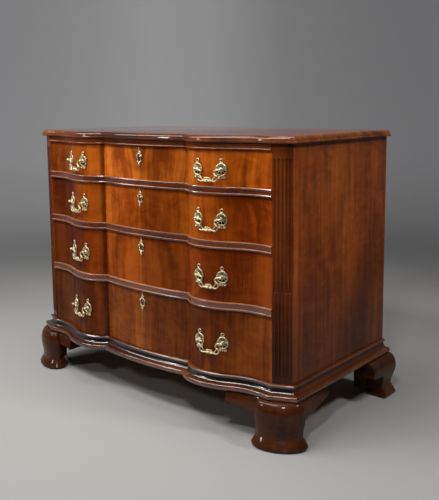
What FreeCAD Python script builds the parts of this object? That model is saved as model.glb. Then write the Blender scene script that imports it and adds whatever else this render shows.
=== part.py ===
import FreeCAD, Part
import math
import os

# Oxbow commode: four graduated drawers between canted, fluted columns on ogee bracket feet.
# Millimetres, +Z up, front towards -Y. The origin is the middle of the footprint, on the floor.
# In plan a point is (x, p), where p counts forward from the line through the columns' front arrises.

# Carcass sizes
CASE_WIDTH = 1076.0
CASE_DEPTH = 540.0
SIDE_THICK = 22.0
BACK_THICK = 12.0
BACK_BOARD_COUNT = 3
BACK_REBATE = 12.0
BOTTOM_THICK = 18.0
HOUSING_DEPTH = 8.0

# Heights, with the drawer openings from the top down
FOOT_HEIGHT = 134.0
BASE_HEIGHT = 41.0
DRAWER_OPENINGS = (103.0, 131.0, 153.0, 187.0)
RAIL_HEIGHT = 23.0
TOP_RAIL_HEIGHT = 20.0
TOP_THICK = 20.0

# Canted corner columns and their flutes
COLUMN_WIDTH = 52.0
COLUMN_CANT = 24.0
COLUMN_DEPTH = 48.0
FLUTE_COUNT = 5
FLUTE_PITCH = 10.6
FLUTE_RADIUS = 3.9
FLUTE_TOP_MARGIN = 44.0
FLUTE_BOTTOM_MARGIN = 24.0
CABLE_HEIGHT = 232.0
CABLE_RADIUS = 3.2
CABLE_SINK = 1.2

# Front plan: a centre bow, two sharp creases, two side swells and a hollow beside each column
CENTRE_BOW = 28.0
CREASE_BOW = 11.0
CREST_BOW = 42.0
TROUGH_DIP = 3.0
TROUGH_INSET = 36.0
SWELL_RUN = 192.0
RETURN_RUN = 72.0

# Rails
RAIL_DEPTH = 92.0
RAIL_BAND = 3.0
RAIL_BEAD = 5.0
BEAD_HEIGHT = 6.0
TENON_LENGTH = 14.0
TENON_WIDTH = 22.0
TENON_HEIGHT = 10.0
TENON_SETBACK = 12.0

# Top board edge: a bead below an ovolo
TOP_OVERHANG = 15.0
TOP_BEAD_HEIGHT = 7.0
TOP_STEP = 3.0
TOP_OVOLO = 12.0

# Base moulding: a lip, a hollow and a bead
LIP_PROUD = 27.0
LIP_HEIGHT = 15.0
LIP_ROUND = 5.0
HOLLOW_TOP = 32.0
HOLLOW_FOOT = 14.0
HOLLOW_HEAD = 3.0
BASE_BEAD = 10.0

# Ogee outline of the feet: heights, and how far a rear foot stands out from the case
PAD_HEIGHT = 10.0
PAD_ROUND = 8.0
NECK_HEIGHT = 33.0
BULGE_HEIGHT = 95.0
PAD_PROUD = 51.0
NECK_PROUD = 33.0
BULGE_PROUD = 50.0
HEAD_PROUD = 25.0

# Front feet: an oval knee before each cant, given by its half-lengths along it, and a wing to each side.
# The knee's middle stands out from the cant and is shifted along it, towards the drawers.
KNEE_PAD = 80.0
KNEE_NECK = 66.0
KNEE_BULGE = 73.0
KNEE_HEAD = 52.0
KNEE_FLAT = 32.0
KNEE_STAND = 12.0
KNEE_SHIFT = 5.0
WING_NECK = 16.0
WING_PROUD = 27.0
WING_HEAD = 14.0
WING_EASE = 26.0
FRONT_WING_ROOT = 30.0
FRONT_WING_LENGTH = 131.0
FRONT_WING_UNDERSIDE = 90.0
FRONT_WING_TIP = 96.0
SIDE_WING_ROOT = 34.0
SIDE_WING_LENGTH = 148.0
SIDE_WING_UNDERSIDE = 80.0
SIDE_WING_TIP = 110.0

# Rear feet, and what all the feet share
BRACKET_INSET = 22.0
REAR_PAD_DEPTH = 68.0
REAR_WING_LENGTH = 142.0
REAR_WING_UNDERSIDE = 80.0
REAR_WING_TIP = 88.0
REAR_BOARD_THICK = 20.0
REAR_BOARD_LENGTH = 150.0
REAR_PAD_WIDTH = 12.0
PAD_FLARE = 8.0
WING_SHOULDER = 24.0
BLOCK_SIZE = 45.0
BLOCK_LIFT = 12.0
GLUE_BLOCK = 30.0
GLUE_LENGTH = 60.0

# Drawer runners and kickers
RUNNER_THICK = 20.0
RUNNER_BEARING = 24.0
GUIDE_HEIGHT = 16.0
GUIDE_CLEARANCE = 2.0
RUN_CLEARANCE = 0.3

# Drawers
FACE_SETBACK = 3.0
FRONT_THICK = 26.0
FRONT_GAP = 1.5
DRAWER_SIDE_THICK = 12.0
DRAWER_BACK_THICK = 12.0
DRAWER_BOTTOM_THICK = 8.0
GROOVE_DEPTH = 6.0
GROOVE_RISE = 10.0
SIDE_DROP = 4.0
BACK_DROP = 10.0
REAR_GAP = 10.0
DOVETAIL_LAP = 7.0
DOVETAIL_PITCH = 34.0
TAIL_ROOT = 0.42
TAIL_END = 0.62

# Handles: a pair of roses with posts, and a bail between them
HANDLE_FROM_CREST = 35.0
HANDLE_BELOW_CENTRE = 3.5
POST_SPAN = 76.0
SHANK_RADIUS = 3.0
SHANK_CLEARANCE = 0.1
KNOB_RADIUS = 6.5
KNOB_STAND = 14.0
NUT_RADIUS = 7.0
NUT_THICK = 5.0
NUT_LET_IN = 2.0
NUT_CLEARANCE = 0.5
SHANK_END = 4.0
ROSE_RADIUS = 18.0
ROSE_EDGE = 2.0
ROSE_CROWN = 3.0
RING_RISE = 27.0
RING_RADIUS = 6.5
RING_BORE = 2.8
CURL_DROP = 20.0
CURL_RADIUS = 6.5
BAIL_ROD = 2.2
BAIL_PIN_PAST = 4.0
PIN_CLEARANCE = 0.05
BAIL_ARM_INSET = 17.0
BAIL_SHOULDER = 6.0
BAIL_CORNER = 8.0
BAIL_DROP = 30.0
BAIL_BEADS = ((0.0, 4.6), (7.0, 3.6), (-7.0, 3.6))

# Escutcheons, keyholes and locks
PLATE_THICK = 2.6
PLATE_DISCS = ((0.0, 13.5), (17.0, 8.0), (26.5, 5.5), (-16.0, 9.5), (-26.0, 5.0))
PLATE_BELOW_TOP = 34.0
KEYHOLE_RADIUS = 3.4
KEYHOLE_SLOT = 5.0
KEYHOLE_DROP = 9.0
LOCK_WIDTH = 60.0
LOCK_HEIGHT = 60.0
LOCK_THICK = 14.0
LOCK_LET_IN = 2.0
LOCK_KEYWAY = 9.0
BOLT_WIDTH = 24.0
BOLT_THICK = 6.0
BOLT_LENGTH = 20.0
BOLT_CLEARANCE = 0.2

# How many steps a moulding's round or hollow takes, a foot's height, and a front wing's length
ROUND_STEPS = 5
FOOT_STEPS = 18
WING_SPANS = 3

V = FreeCAD.Vector
UP = V(0, 0, 1)
MIRROR_AXIS = V(1, 0, 0)
OVERSHOOT = 5.0
LEDGE = 0.3

# Levels
BASE_TOP = FOOT_HEIGHT + BASE_HEIGHT
OPENINGS = []
level = BASE_TOP
for opening_height in reversed(DRAWER_OPENINGS):
    OPENINGS.insert(0, (level, level + opening_height))
    level += opening_height + RAIL_HEIGHT
CASE_TOP = level - RAIL_HEIGHT + TOP_RAIL_HEIGHT

# Plan stations and arcs
HALF_WIDTH = CASE_WIDTH / 2
ARRIS_X = HALF_WIDTH - COLUMN_WIDTH
TROUGH_X = ARRIS_X - TROUGH_INSET
CREST_X = TROUGH_X - SWELL_RUN
CREASE_X = CREST_X - RETURN_RUN


def arc_radius(run, rise):
    """Radius of an arc that leaves its crown level and falls by rise over run."""
    return (run * run + rise * rise) / (2 * rise)


CENTRE_R = arc_radius(CREASE_X, CENTRE_BOW - CREASE_BOW)
RETURN_R = arc_radius(RETURN_RUN, CREST_BOW - CREASE_BOW)
TROUGH_R = arc_radius(TROUGH_INSET, TROUGH_DIP)
SWELL_R = arc_radius(SWELL_RUN, CREST_BOW + TROUGH_DIP) - TROUGH_R
CENTRE_C = (0.0, CENTRE_BOW - CENTRE_R)
RETURN_C = (CREST_X, CREST_BOW - RETURN_R)
SWELL_C = (CREST_X, CREST_BOW - SWELL_R)
TROUGH_C = (TROUGH_X, TROUGH_R - TROUGH_DIP)
CANT_LENGTH = math.hypot(COLUMN_WIDTH, COLUMN_CANT)
CANT_NORMAL = (COLUMN_CANT / CANT_LENGTH, COLUMN_WIDTH / CANT_LENGTH)
CANT_ALONG = (COLUMN_WIDTH / CANT_LENGTH, -COLUMN_CANT / CANT_LENGTH)


def crease_x(offset):
    """Where the centre bow meets the swell's return, at an offset outward from the carcass line."""
    r0 = CENTRE_R + offset
    r1 = RETURN_R + offset
    dx = RETURN_C[0] - CENTRE_C[0]
    dp = RETURN_C[1] - CENTRE_C[1]
    gap = math.hypot(dx, dp)
    along = (r0 * r0 - r1 * r1 + gap * gap) / (2 * gap)
    across = math.sqrt(r0 * r0 - along * along)
    return CENTRE_C[0] + (along * dx - across * dp) / gap


def bend_x(offset):
    """Where the swell turns into the hollow."""
    return CREST_X + (SWELL_R + offset) * SWELL_RUN / (SWELL_R + TROUGH_R)


def plan_arc_at(x, offset):
    """Centre, radius and sense (1 convex, -1 hollow) of the plan arc at x."""
    x = abs(x)
    if x <= crease_x(offset):
        return CENTRE_C, CENTRE_R + offset, 1
    if x <= CREST_X:
        return RETURN_C, RETURN_R + offset, 1
    if x <= bend_x(offset):
        return SWELL_C, SWELL_R + offset, 1
    return TROUGH_C, TROUGH_R - offset, -1


def plan_p(x, offset):
    """Forward position of the front line at x."""
    centre, radius, sense = plan_arc_at(x, offset)
    return centre[1] + sense * math.sqrt(radius ** 2 - (abs(x) - centre[0]) ** 2)


def plan_normal(x, offset):
    """Outward unit normal of the front line at x, for x on the right half."""
    centre, radius, sense = plan_arc_at(x, offset)
    return sense * (x - centre[0]) / radius, sense * (plan_p(x, offset) - centre[1]) / radius


def corner_points(offset):
    """The column's two arrises at an offset: front one first, then the one at the case side."""
    start = (ARRIS_X + offset * CANT_NORMAL[0], offset * CANT_NORMAL[1])
    rel = (start[0] - TROUGH_C[0], start[1] - TROUGH_C[1])
    half_b = rel[0] * CANT_ALONG[0] + rel[1] * CANT_ALONG[1]
    root = math.sqrt(half_b ** 2 - rel[0] ** 2 - rel[1] ** 2 + (TROUGH_R - offset) ** 2)
    step = min((-half_b - root, -half_b + root), key=abs)
    front = (start[0] + step * CANT_ALONG[0], start[1] + step * CANT_ALONG[1])
    side_x = HALF_WIDTH + offset
    run = (side_x - start[0]) / CANT_ALONG[0]
    return front, (side_x, start[1] + run * CANT_ALONG[1])


# The lip below a crest reaches furthest forward, or else a front foot's pad or wing end
WING_X = ARRIS_X - FRONT_WING_LENGTH
KNEE_X = (ARRIS_X + HALF_WIDTH) / 2 + KNEE_STAND * CANT_NORMAL[0] - KNEE_SHIFT * CANT_ALONG[0]
KNEE_P = -COLUMN_CANT / 2 + KNEE_STAND * CANT_NORMAL[1] - KNEE_SHIFT * CANT_ALONG[1]
KNEE_REACH = KNEE_P + math.hypot(KNEE_PAD * CANT_ALONG[1], (KNEE_PAD - KNEE_FLAT) * CANT_NORMAL[1])
FRONT_REACH = max(CREST_BOW + max(LIP_PROUD, TOP_OVERHANG), KNEE_REACH, plan_p(WING_X, WING_PROUD))
FRONT_Y = (FRONT_REACH - CASE_DEPTH) / 2
BACK_P = -CASE_DEPTH


def spot(x, p, z=0.0):
    return V(x, FRONT_Y - p, z)


def line(a, b):
    return Part.LineSegment(a, b).toShape()


def polyline(points):
    """Closed polygon edges through the points."""
    return [line(a, b) for a, b in zip(points, points[1:] + points[:1])]


def plan_arc(x0, x1, offset, z):
    return Part.Arc(*[spot(x, plan_p(x, offset), z) for x in (x0, (x0 + x1) / 2, x1)]).toShape()


def front_edges(offset, x_end, z):
    """The front line's seven arcs, left to right, from -x_end to x_end."""
    right = [crease_x(offset), CREST_X, bend_x(offset), x_end]
    stations = [-x for x in reversed(right)] + right
    return [plan_arc(a, b, offset, z) for a, b in zip(stations, stations[1:])]


def prism(edges, height):
    return Part.Face(Part.Wire(edges)).extrude(UP * height)


def block(x0, x1, p0, p1, z0, z1):
    """Box between two plan corners, with p0 the front and p1 the back."""
    return Part.makeBox(x1 - x0, p0 - p1, z1 - z0, spot(x0, p0, z0))


def loft(wires):
    return Part.makeLoft(wires, True, True)


def mirrored(shape):
    return shape.mirror(V(0, 0, 0), MIRROR_AXIS)


def pair(shape):
    return Part.makeCompound([shape, mirrored(shape)])


def round_steps(start, end):
    """Angles from start to end, in degrees, as radians."""
    return [math.radians(start + (end - start) * i / ROUND_STEPS) for i in range(ROUND_STEPS + 1)]


def bead_profile(z0, z1, root, proud):
    """Half-round bead: heights and offsets from its lower edge to its upper edge."""
    middle = (z0 + z1) / 2
    rise = (z1 - z0) / 2
    return [(middle - rise * math.cos(t), root + (proud - root) * math.sin(t)) for t in round_steps(0, 180)]


# Rails with a bead along each edge
def rail_profile(z0, z1):
    inner = RAIL_BAND - LEDGE
    low = bead_profile(z0, z0 + BEAD_HEIGHT, inner, RAIL_BEAD)
    high = bead_profile(z1 - BEAD_HEIGHT, z1, inner, RAIL_BEAD)
    band = [(z0 + BEAD_HEIGHT + LEDGE, RAIL_BAND), (z1 - BEAD_HEIGHT - LEDGE, RAIL_BAND)]
    return low + band + high


def rail_wire(z, offset):
    ends = [spot(ARRIS_X, plan_p(ARRIS_X, offset), z), spot(ARRIS_X, -RAIL_DEPTH, z)]
    ends += [spot(-ARRIS_X, -RAIL_DEPTH, z), spot(-ARRIS_X, plan_p(ARRIS_X, offset), z)]
    return Part.Wire(front_edges(offset, ARRIS_X, z) + [line(a, b) for a, b in zip(ends, ends[1:])])


def tenon(z0, z1):
    """The right end's stub tenon, which the column's mortise takes."""
    middle = (z0 + z1) / 2
    half = TENON_HEIGHT / 2
    front = -TENON_SETBACK
    return block(ARRIS_X, ARRIS_X + TENON_LENGTH, front, front - TENON_WIDTH, middle - half, middle + half)


def rail(z0, z1, profile):
    body = loft([rail_wire(z, offset) for z, offset in profile])
    return body.fuse([tenon(z0, z1), mirrored(tenon(z0, z1))]).removeSplitter()


def rail_levels():
    """Lower and upper level of the rail below each of the upper drawers, from the top down."""
    return [(low - RAIL_HEIGHT, low) for low, high in OPENINGS[:-1]]


def bottom_rail():
    """Plain rail behind the base moulding."""
    return rail(FOOT_HEIGHT, BASE_TOP, [(FOOT_HEIGHT, 0.0), (BASE_TOP, 0.0)])


# Columns, sides, back and bottom
def flute_tool(z0, z1, along, radius, sink):
    """Round-ended rod on the cant face, its axis sunk below the face."""
    x = ARRIS_X + along * CANT_ALONG[0] - sink * CANT_NORMAL[0]
    p = along * CANT_ALONG[1] - sink * CANT_NORMAL[1]
    rod = Part.makeCylinder(radius, z1 - z0, spot(x, p, z0), UP)
    ends = [Part.makeSphere(radius, spot(x, p, z)) for z in (z0, z1)]
    return rod.fuse(ends)


def flute_places():
    middle = CANT_LENGTH / 2
    return [middle + (i - (FLUTE_COUNT - 1) / 2) * FLUTE_PITCH for i in range(FLUTE_COUNT)]


def corner_column():
    corners = [(ARRIS_X, 0.0), (HALF_WIDTH, -COLUMN_CANT)]
    corners += [(HALF_WIDTH, -COLUMN_DEPTH), (ARRIS_X, -COLUMN_DEPTH)]
    body = prism(polyline([spot(x, p, FOOT_HEIGHT) for x, p in corners]), CASE_TOP - FOOT_HEIGHT)
    z0 = BASE_TOP + FLUTE_BOTTOM_MARGIN
    z1 = CASE_TOP - FLUTE_TOP_MARGIN
    body = body.cut([flute_tool(z0, z1, place, FLUTE_RADIUS, 0.0) for place in flute_places()])
    cable_top = z0 + CABLE_HEIGHT
    body = body.fuse([flute_tool(z0, cable_top, place, CABLE_RADIUS, CABLE_SINK) for place in flute_places()])
    mortises = [tenon(z0, z1) for z0, z1 in rail_levels()]
    mortises += [tenon(FOOT_HEIGHT, BASE_TOP), tenon(OPENINGS[0][1], CASE_TOP)]
    return body.cut(mortises)


def bottom_board():
    half = HALF_WIDTH - SIDE_THICK + HOUSING_DEPTH
    top = BASE_TOP - RUNNER_THICK
    return block(-half, half, -RAIL_DEPTH, BACK_P + BACK_THICK, top - BOTTOM_THICK, top)


def side_panel(bottom):
    body = block(HALF_WIDTH - SIDE_THICK, HALF_WIDTH, -COLUMN_DEPTH, BACK_P, FOOT_HEIGHT, CASE_TOP)
    rebate_x = HALF_WIDTH - SIDE_THICK + BACK_REBATE
    rebate = block(0, rebate_x, BACK_P + BACK_THICK, BACK_P - OVERSHOOT, FOOT_HEIGHT, CASE_TOP)
    return body.cut([rebate, bottom])


def back_boards():
    half = HALF_WIDTH - SIDE_THICK + BACK_REBATE
    height = (CASE_TOP - FOOT_HEIGHT) / BACK_BOARD_COUNT
    lows = [FOOT_HEIGHT + i * height for i in range(BACK_BOARD_COUNT)]
    return Part.makeCompound([block(-half, half, BACK_P + BACK_THICK, BACK_P, z, z + height) for z in lows])


# Top board with its moulded edge
def case_wire(z, offset):
    """Outline of the whole case at an offset, flush at the back."""
    front, side = corner_points(offset)
    right = [spot(front[0], front[1], z), spot(side[0], side[1], z), spot(side[0], BACK_P, z)]
    left = [V(-v.x, v.y, v.z) for v in reversed(right)]
    corners = right + left
    return Part.Wire(front_edges(offset, front[0], z) + [line(a, b) for a, b in zip(corners, corners[1:])])


def top_profile():
    ledge_z = CASE_TOP + TOP_BEAD_HEIGHT
    root = TOP_OVERHANG - TOP_BEAD_HEIGHT / 2
    bead = bead_profile(CASE_TOP, ledge_z, root, TOP_OVERHANG)
    rise = TOP_THICK - TOP_BEAD_HEIGHT - LEDGE
    foot = TOP_OVERHANG - TOP_STEP
    ovolo = [(ledge_z + LEDGE + rise * math.sin(t), foot - TOP_OVOLO * (1 - math.cos(t)))
             for t in round_steps(0, 90)]
    return bead + ovolo


def top_board():
    return loft([case_wire(z, offset) for z, offset in top_profile()])


# Base moulding: one length round the front and the cants, and a length along each side
def base_profile():
    lip_low = [(FOOT_HEIGHT + LIP_ROUND * (1 - math.cos(t)), LIP_PROUD - LIP_ROUND * (1 - math.sin(t)))
               for t in round_steps(0, 90)]
    lip_top = FOOT_HEIGHT + LIP_HEIGHT
    lip_high = [(lip_top - LIP_ROUND * (1 - math.sin(t)), LIP_PROUD - LIP_ROUND * (1 - math.cos(t)))
                for t in round_steps(0, 90)]
    rise = FOOT_HEIGHT + HOLLOW_TOP - lip_top - LEDGE
    run = HOLLOW_FOOT - HOLLOW_HEAD
    hollow = [(lip_top + LEDGE + rise * (1 - math.cos(t)), HOLLOW_FOOT - run * math.sin(t))
              for t in round_steps(0, 90)]
    bead = bead_profile(FOOT_HEIGHT + HOLLOW_TOP + LEDGE, BASE_TOP, HOLLOW_HEAD, BASE_BEAD)
    return lip_low + lip_high + hollow + bead


def base_front_wire(z, offset):
    """Strip from the carcass line out to the offset, mitred at the case sides."""
    outer_front, outer_side = corner_points(offset)
    outer = [spot(*outer_front, z), spot(*outer_side, z)]
    inner_line = [spot(HALF_WIDTH, -COLUMN_CANT, z), spot(ARRIS_X, 0.0, z)]
    right = outer + inner_line
    left = [V(-v.x, v.y, v.z) for v in reversed(right)]
    edges = front_edges(offset, outer_front[0], z)
    edges += [line(a, b) for a, b in zip(right, right[1:])]
    edges += list(reversed(front_edges(0.0, ARRIS_X, z)))
    edges += [line(a, b) for a, b in zip(left, left[1:])]
    return Part.Wire(edges)


def base_side_wire(z, offset):
    side = corner_points(offset)[1]
    corners = [side, (HALF_WIDTH + offset, BACK_P), (HALF_WIDTH, BACK_P), (HALF_WIDTH, -COLUMN_CANT)]
    return Part.Wire(polyline([spot(x, p, z) for x, p in corners]))


def base_moulding(wire_at):
    return loft([wire_at(z, offset) for z, offset in base_profile()])


# Feet
def blend(t, a, b):
    return a + (b - a) * (1 - math.cos(math.pi * t)) / 2


def ogee(z, pad, neck, bulge, head):
    """A foot's outline at a height: a rounded pad, a neck, a bulge and a head that rounds over."""
    if z <= PAD_HEIGHT:
        return pad - PAD_ROUND * (1 - math.sqrt(1 - (1 - z / PAD_HEIGHT) ** 2))
    if z <= NECK_HEIGHT:
        return blend((z - PAD_HEIGHT) / (NECK_HEIGHT - PAD_HEIGHT), pad, neck)
    if z <= BULGE_HEIGHT:
        return blend((z - NECK_HEIGHT) / (BULGE_HEIGHT - NECK_HEIGHT), neck, bulge)
    t = (z - BULGE_HEIGHT) / (FOOT_HEIGHT - BULGE_HEIGHT)
    return head + (bulge - head) * math.sqrt(1 - t ** 2)


def foot_levels():
    """Levels from floor to foot head, closer together where the pad and the head round over."""
    pad = [PAD_HEIGHT * (1 - math.cos(t)) for t in round_steps(0, 90)]
    steps = [(i + 1) / FOOT_STEPS for i in range(FOOT_STEPS)]
    return pad + [PAD_HEIGHT + (FOOT_HEIGHT - PAD_HEIGHT) * math.sin(math.pi / 2 * t) for t in steps]


def eased_corner(before, corner, after, length):
    """Start, middle and end of an arc that eases a corner, tangent at a length to each side of it."""
    back = (before - corner).normalize()
    ahead = (after - corner).normalize()
    half = back.getAngle(ahead) / 2
    inward = (back + ahead).normalize()
    depth = length * (1 - math.sin(half)) / math.cos(half)
    return corner + back * length, corner + inward * depth, corner + ahead * length


def wing_wire(z):
    """Section of a front foot's two wings, which meet inside the knee with eased corners."""
    offset = ogee(z, WING_NECK, WING_NECK, WING_PROUD, WING_HEAD)
    front_arris, side_arris = [spot(x, p, z) for x, p in corner_points(offset)]
    inner_x = HALF_WIDTH - BRACKET_INSET
    back = -COLUMN_CANT - SIDE_WING_LENGTH
    ease_x = front_arris.x - WING_EASE
    ease = spot(ease_x, plan_p(ease_x, offset), z)
    corners = [(HALF_WIDTH + offset, back), (inner_x, back), (inner_x, -BRACKET_INSET)]
    corners += [(WING_X, -BRACKET_INSET), (WING_X, plan_p(WING_X, offset))]
    points = [spot(x, p, z) for x, p in corners]
    first = eased_corner(ease, front_arris, side_arris, (ease - front_arris).Length)
    second = eased_corner(front_arris, side_arris, points[0], WING_EASE)
    stations = [WING_X + (ease_x - WING_X) * i / WING_SPANS for i in range(WING_SPANS + 1)]
    edges = [plan_arc(a, b, offset, z) for a, b in zip(stations, stations[1:])]
    edges += [Part.Arc(*first).toShape(), line(first[2], second[0]), Part.Arc(*second).toShape()]
    points.insert(0, second[2])
    return Part.Wire(edges + [line(a, b) for a, b in zip(points, points[1:])])


def bracket_cut(pad, tip, underside, tip_height, reach, at):
    """Waste below a bracket's wing. Lengths run from pad's end to the wing tip; at(s, z) places them."""
    sense = 1 if tip > pad else -1
    neck = pad - sense * PAD_FLARE
    far = tip + sense * OVERSHOOT
    low = -OVERSHOOT
    flare_mid = (pad + neck * 3) / 4
    shoulder = neck + sense * WING_SHOULDER
    edges = polyline([at(far, low), at(pad, low), at(pad, PAD_HEIGHT)])[:2]
    edges.append(Part.Arc(at(pad, PAD_HEIGHT), at(flare_mid, (PAD_HEIGHT + NECK_HEIGHT) / 2),
                          at(neck, NECK_HEIGHT)).toShape())
    turn = math.sqrt(0.5)
    rise = underside - NECK_HEIGHT
    edges.append(Part.Arc(at(neck, NECK_HEIGHT),
                          at(shoulder - sense * WING_SHOULDER * turn, NECK_HEIGHT + rise * turn),
                          at(shoulder, underside)).toShape())
    edges += [line(at(shoulder, underside), at(far, tip_height)), line(at(far, tip_height), at(far, low))]
    return Part.Face(Part.Wire(edges)).extrude(reach)


def knee_wire(z):
    """Oval section of the knee, flatter across the cant than along it."""
    centre = spot(KNEE_X, KNEE_P, z)
    along = V(CANT_ALONG[0], -CANT_ALONG[1], 0)
    across = V(CANT_NORMAL[0], -CANT_NORMAL[1], 0)
    half = ogee(z, KNEE_PAD, KNEE_NECK, KNEE_BULGE, KNEE_HEAD)
    return Part.Wire(Part.Ellipse(centre + along * half, centre + across * (half - KNEE_FLAT), centre).toShape())


def front_foot():
    levels = [NECK_HEIGHT] + [z for z in foot_levels() if z > NECK_HEIGHT]
    wings = loft([wing_wire(z) for z in levels])
    cut_front = FRONT_REACH + OVERSHOOT
    depth = V(0, cut_front + CASE_DEPTH, 0)
    front_cut = bracket_cut(ARRIS_X - FRONT_WING_ROOT, WING_X, FRONT_WING_UNDERSIDE, FRONT_WING_TIP,
                            depth, lambda s, z: spot(s, cut_front, z))
    side_cut = bracket_cut(COLUMN_CANT + SIDE_WING_ROOT, COLUMN_CANT + SIDE_WING_LENGTH, SIDE_WING_UNDERSIDE,
                           SIDE_WING_TIP, V(CASE_WIDTH, 0, 0), lambda s, z: spot(0.0, -s, z))
    knee = loft([knee_wire(z) for z in foot_levels()])
    return knee.fuse(wings.cut([front_cut, side_cut])).removeSplitter()


def rear_foot_wire(z):
    inner_x = HALF_WIDTH - BRACKET_INSET
    outer_x = HALF_WIDTH + ogee(z, PAD_PROUD, NECK_PROUD, BULGE_PROUD, HEAD_PROUD)
    tip = BACK_P + REAR_WING_LENGTH
    board_x = HALF_WIDTH - REAR_BOARD_LENGTH
    board_p = BACK_P + REAR_BOARD_THICK
    corners = [(outer_x, tip), (outer_x, BACK_P), (board_x, BACK_P), (board_x, board_p), (inner_x, board_p)]
    corners.append((inner_x, tip))
    return Part.Wire(polyline([spot(x, p, z) for x, p in corners]))


def rear_foot():
    body = loft([rear_foot_wire(z) for z in foot_levels()])
    side_cut = bracket_cut(CASE_DEPTH - REAR_PAD_DEPTH, CASE_DEPTH - REAR_WING_LENGTH, REAR_WING_UNDERSIDE,
                           REAR_WING_TIP, V(CASE_WIDTH, 0, 0),
                           lambda s, z: spot(HALF_WIDTH - BRACKET_INSET - OVERSHOOT, -s, z))
    board_front = BACK_P + REAR_BOARD_THICK + OVERSHOOT
    back_cut = bracket_cut(HALF_WIDTH - REAR_PAD_WIDTH - BRACKET_INSET, HALF_WIDTH - REAR_BOARD_LENGTH,
                           REAR_WING_UNDERSIDE, REAR_WING_TIP, V(0, REAR_BOARD_THICK + 2 * OVERSHOOT, 0),
                           lambda s, z: spot(s, board_front, z))
    return body.cut([side_cut, back_cut])


def foot_blocks():
    """A glue block behind each front foot's wings, and a corner post inside each rear foot."""
    x0 = WING_X + BLOCK_LIFT
    x1 = HALF_WIDTH - BRACKET_INSET
    top = BASE_TOP - RUNNER_THICK - BOTTOM_THICK
    front = block(x0, x0 + GLUE_LENGTH, -BRACKET_INSET, -BRACKET_INSET - GLUE_BLOCK,
                  FOOT_HEIGHT - GLUE_BLOCK, FOOT_HEIGHT)
    side_p = BLOCK_LIFT - COLUMN_CANT - SIDE_WING_LENGTH
    side = block(x1 - GLUE_BLOCK, x1, side_p + GLUE_LENGTH, side_p, top - GLUE_BLOCK, top)
    rear_p = BACK_P + REAR_BOARD_THICK
    rear = block(x1 - BLOCK_SIZE, x1, rear_p + BLOCK_SIZE, rear_p, BLOCK_LIFT, top)
    right = [front, side, rear]
    return Part.makeCompound(right + [mirrored(solid) for solid in right])


# Runners below every drawer, and kickers above the top one
def drawer_runners():
    outer = HALF_WIDTH - SIDE_THICK
    inner = ARRIS_X - RUNNER_BEARING
    back = BACK_P + BACK_THICK
    strips = []
    for low, high in OPENINGS:
        bearing = block(inner, outer, -RAIL_DEPTH, back, low - RUNNER_THICK, low)
        guide = block(ARRIS_X, outer, -RAIL_DEPTH, back, low, low + GUIDE_HEIGHT)
        strips.append(bearing.fuse(guide).removeSplitter())
    strips.append(block(inner, outer, -RAIL_DEPTH, back, OPENINGS[0][1], CASE_TOP))
    return Part.makeCompound(strips + [mirrored(strip) for strip in strips])


# Drawers
DRAWER_HALF = ARRIS_X - GUIDE_CLEARANCE
FRONT_HALF = ARRIS_X - FRONT_GAP
FACE = -FACE_SETBACK
INSIDE = FACE - FRONT_THICK
DRAWER_BACK_P = BACK_P + BACK_THICK + REAR_GAP


def drawer_levels(index):
    low, high = OPENINGS[index]
    return low + RUN_CLEARANCE, high - FRONT_GAP


def front_blank(z0, z1):
    outer = front_edges(FACE, FRONT_HALF, z0)
    inner = front_edges(INSIDE, FRONT_HALF, z0)
    ends = [line(spot(side * FRONT_HALF, plan_p(FRONT_HALF, FACE), z0),
                 spot(side * FRONT_HALF, plan_p(FRONT_HALF, INSIDE), z0)) for side in (1, -1)]
    return prism(outer + [ends[0]] + list(reversed(inner)) + [ends[1]], z1 - z0)


def tails(z0, z1, end_p, root_p):
    """Dovetails of the right drawer side, wider at end_p than at root_p."""
    count = max(2, round((z1 - z0) / DOVETAIL_PITCH))
    pitch = (z1 - z0) / count
    solids = []
    for i in range(count):
        middle = z0 + (i + 0.5) * pitch
        root = pitch * TAIL_ROOT / 2
        end = pitch * TAIL_END / 2
        corners = [(root_p, middle - root), (root_p, middle + root)]
        corners += [(end_p, middle + end), (end_p, middle - end)]
        face = Part.Face(Part.Wire(polyline([spot(DRAWER_HALF, p, z) for p, z in corners])))
        solids.append(face.extrude(V(-DRAWER_SIDE_THICK, 0, 0)))
    return solids


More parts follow.
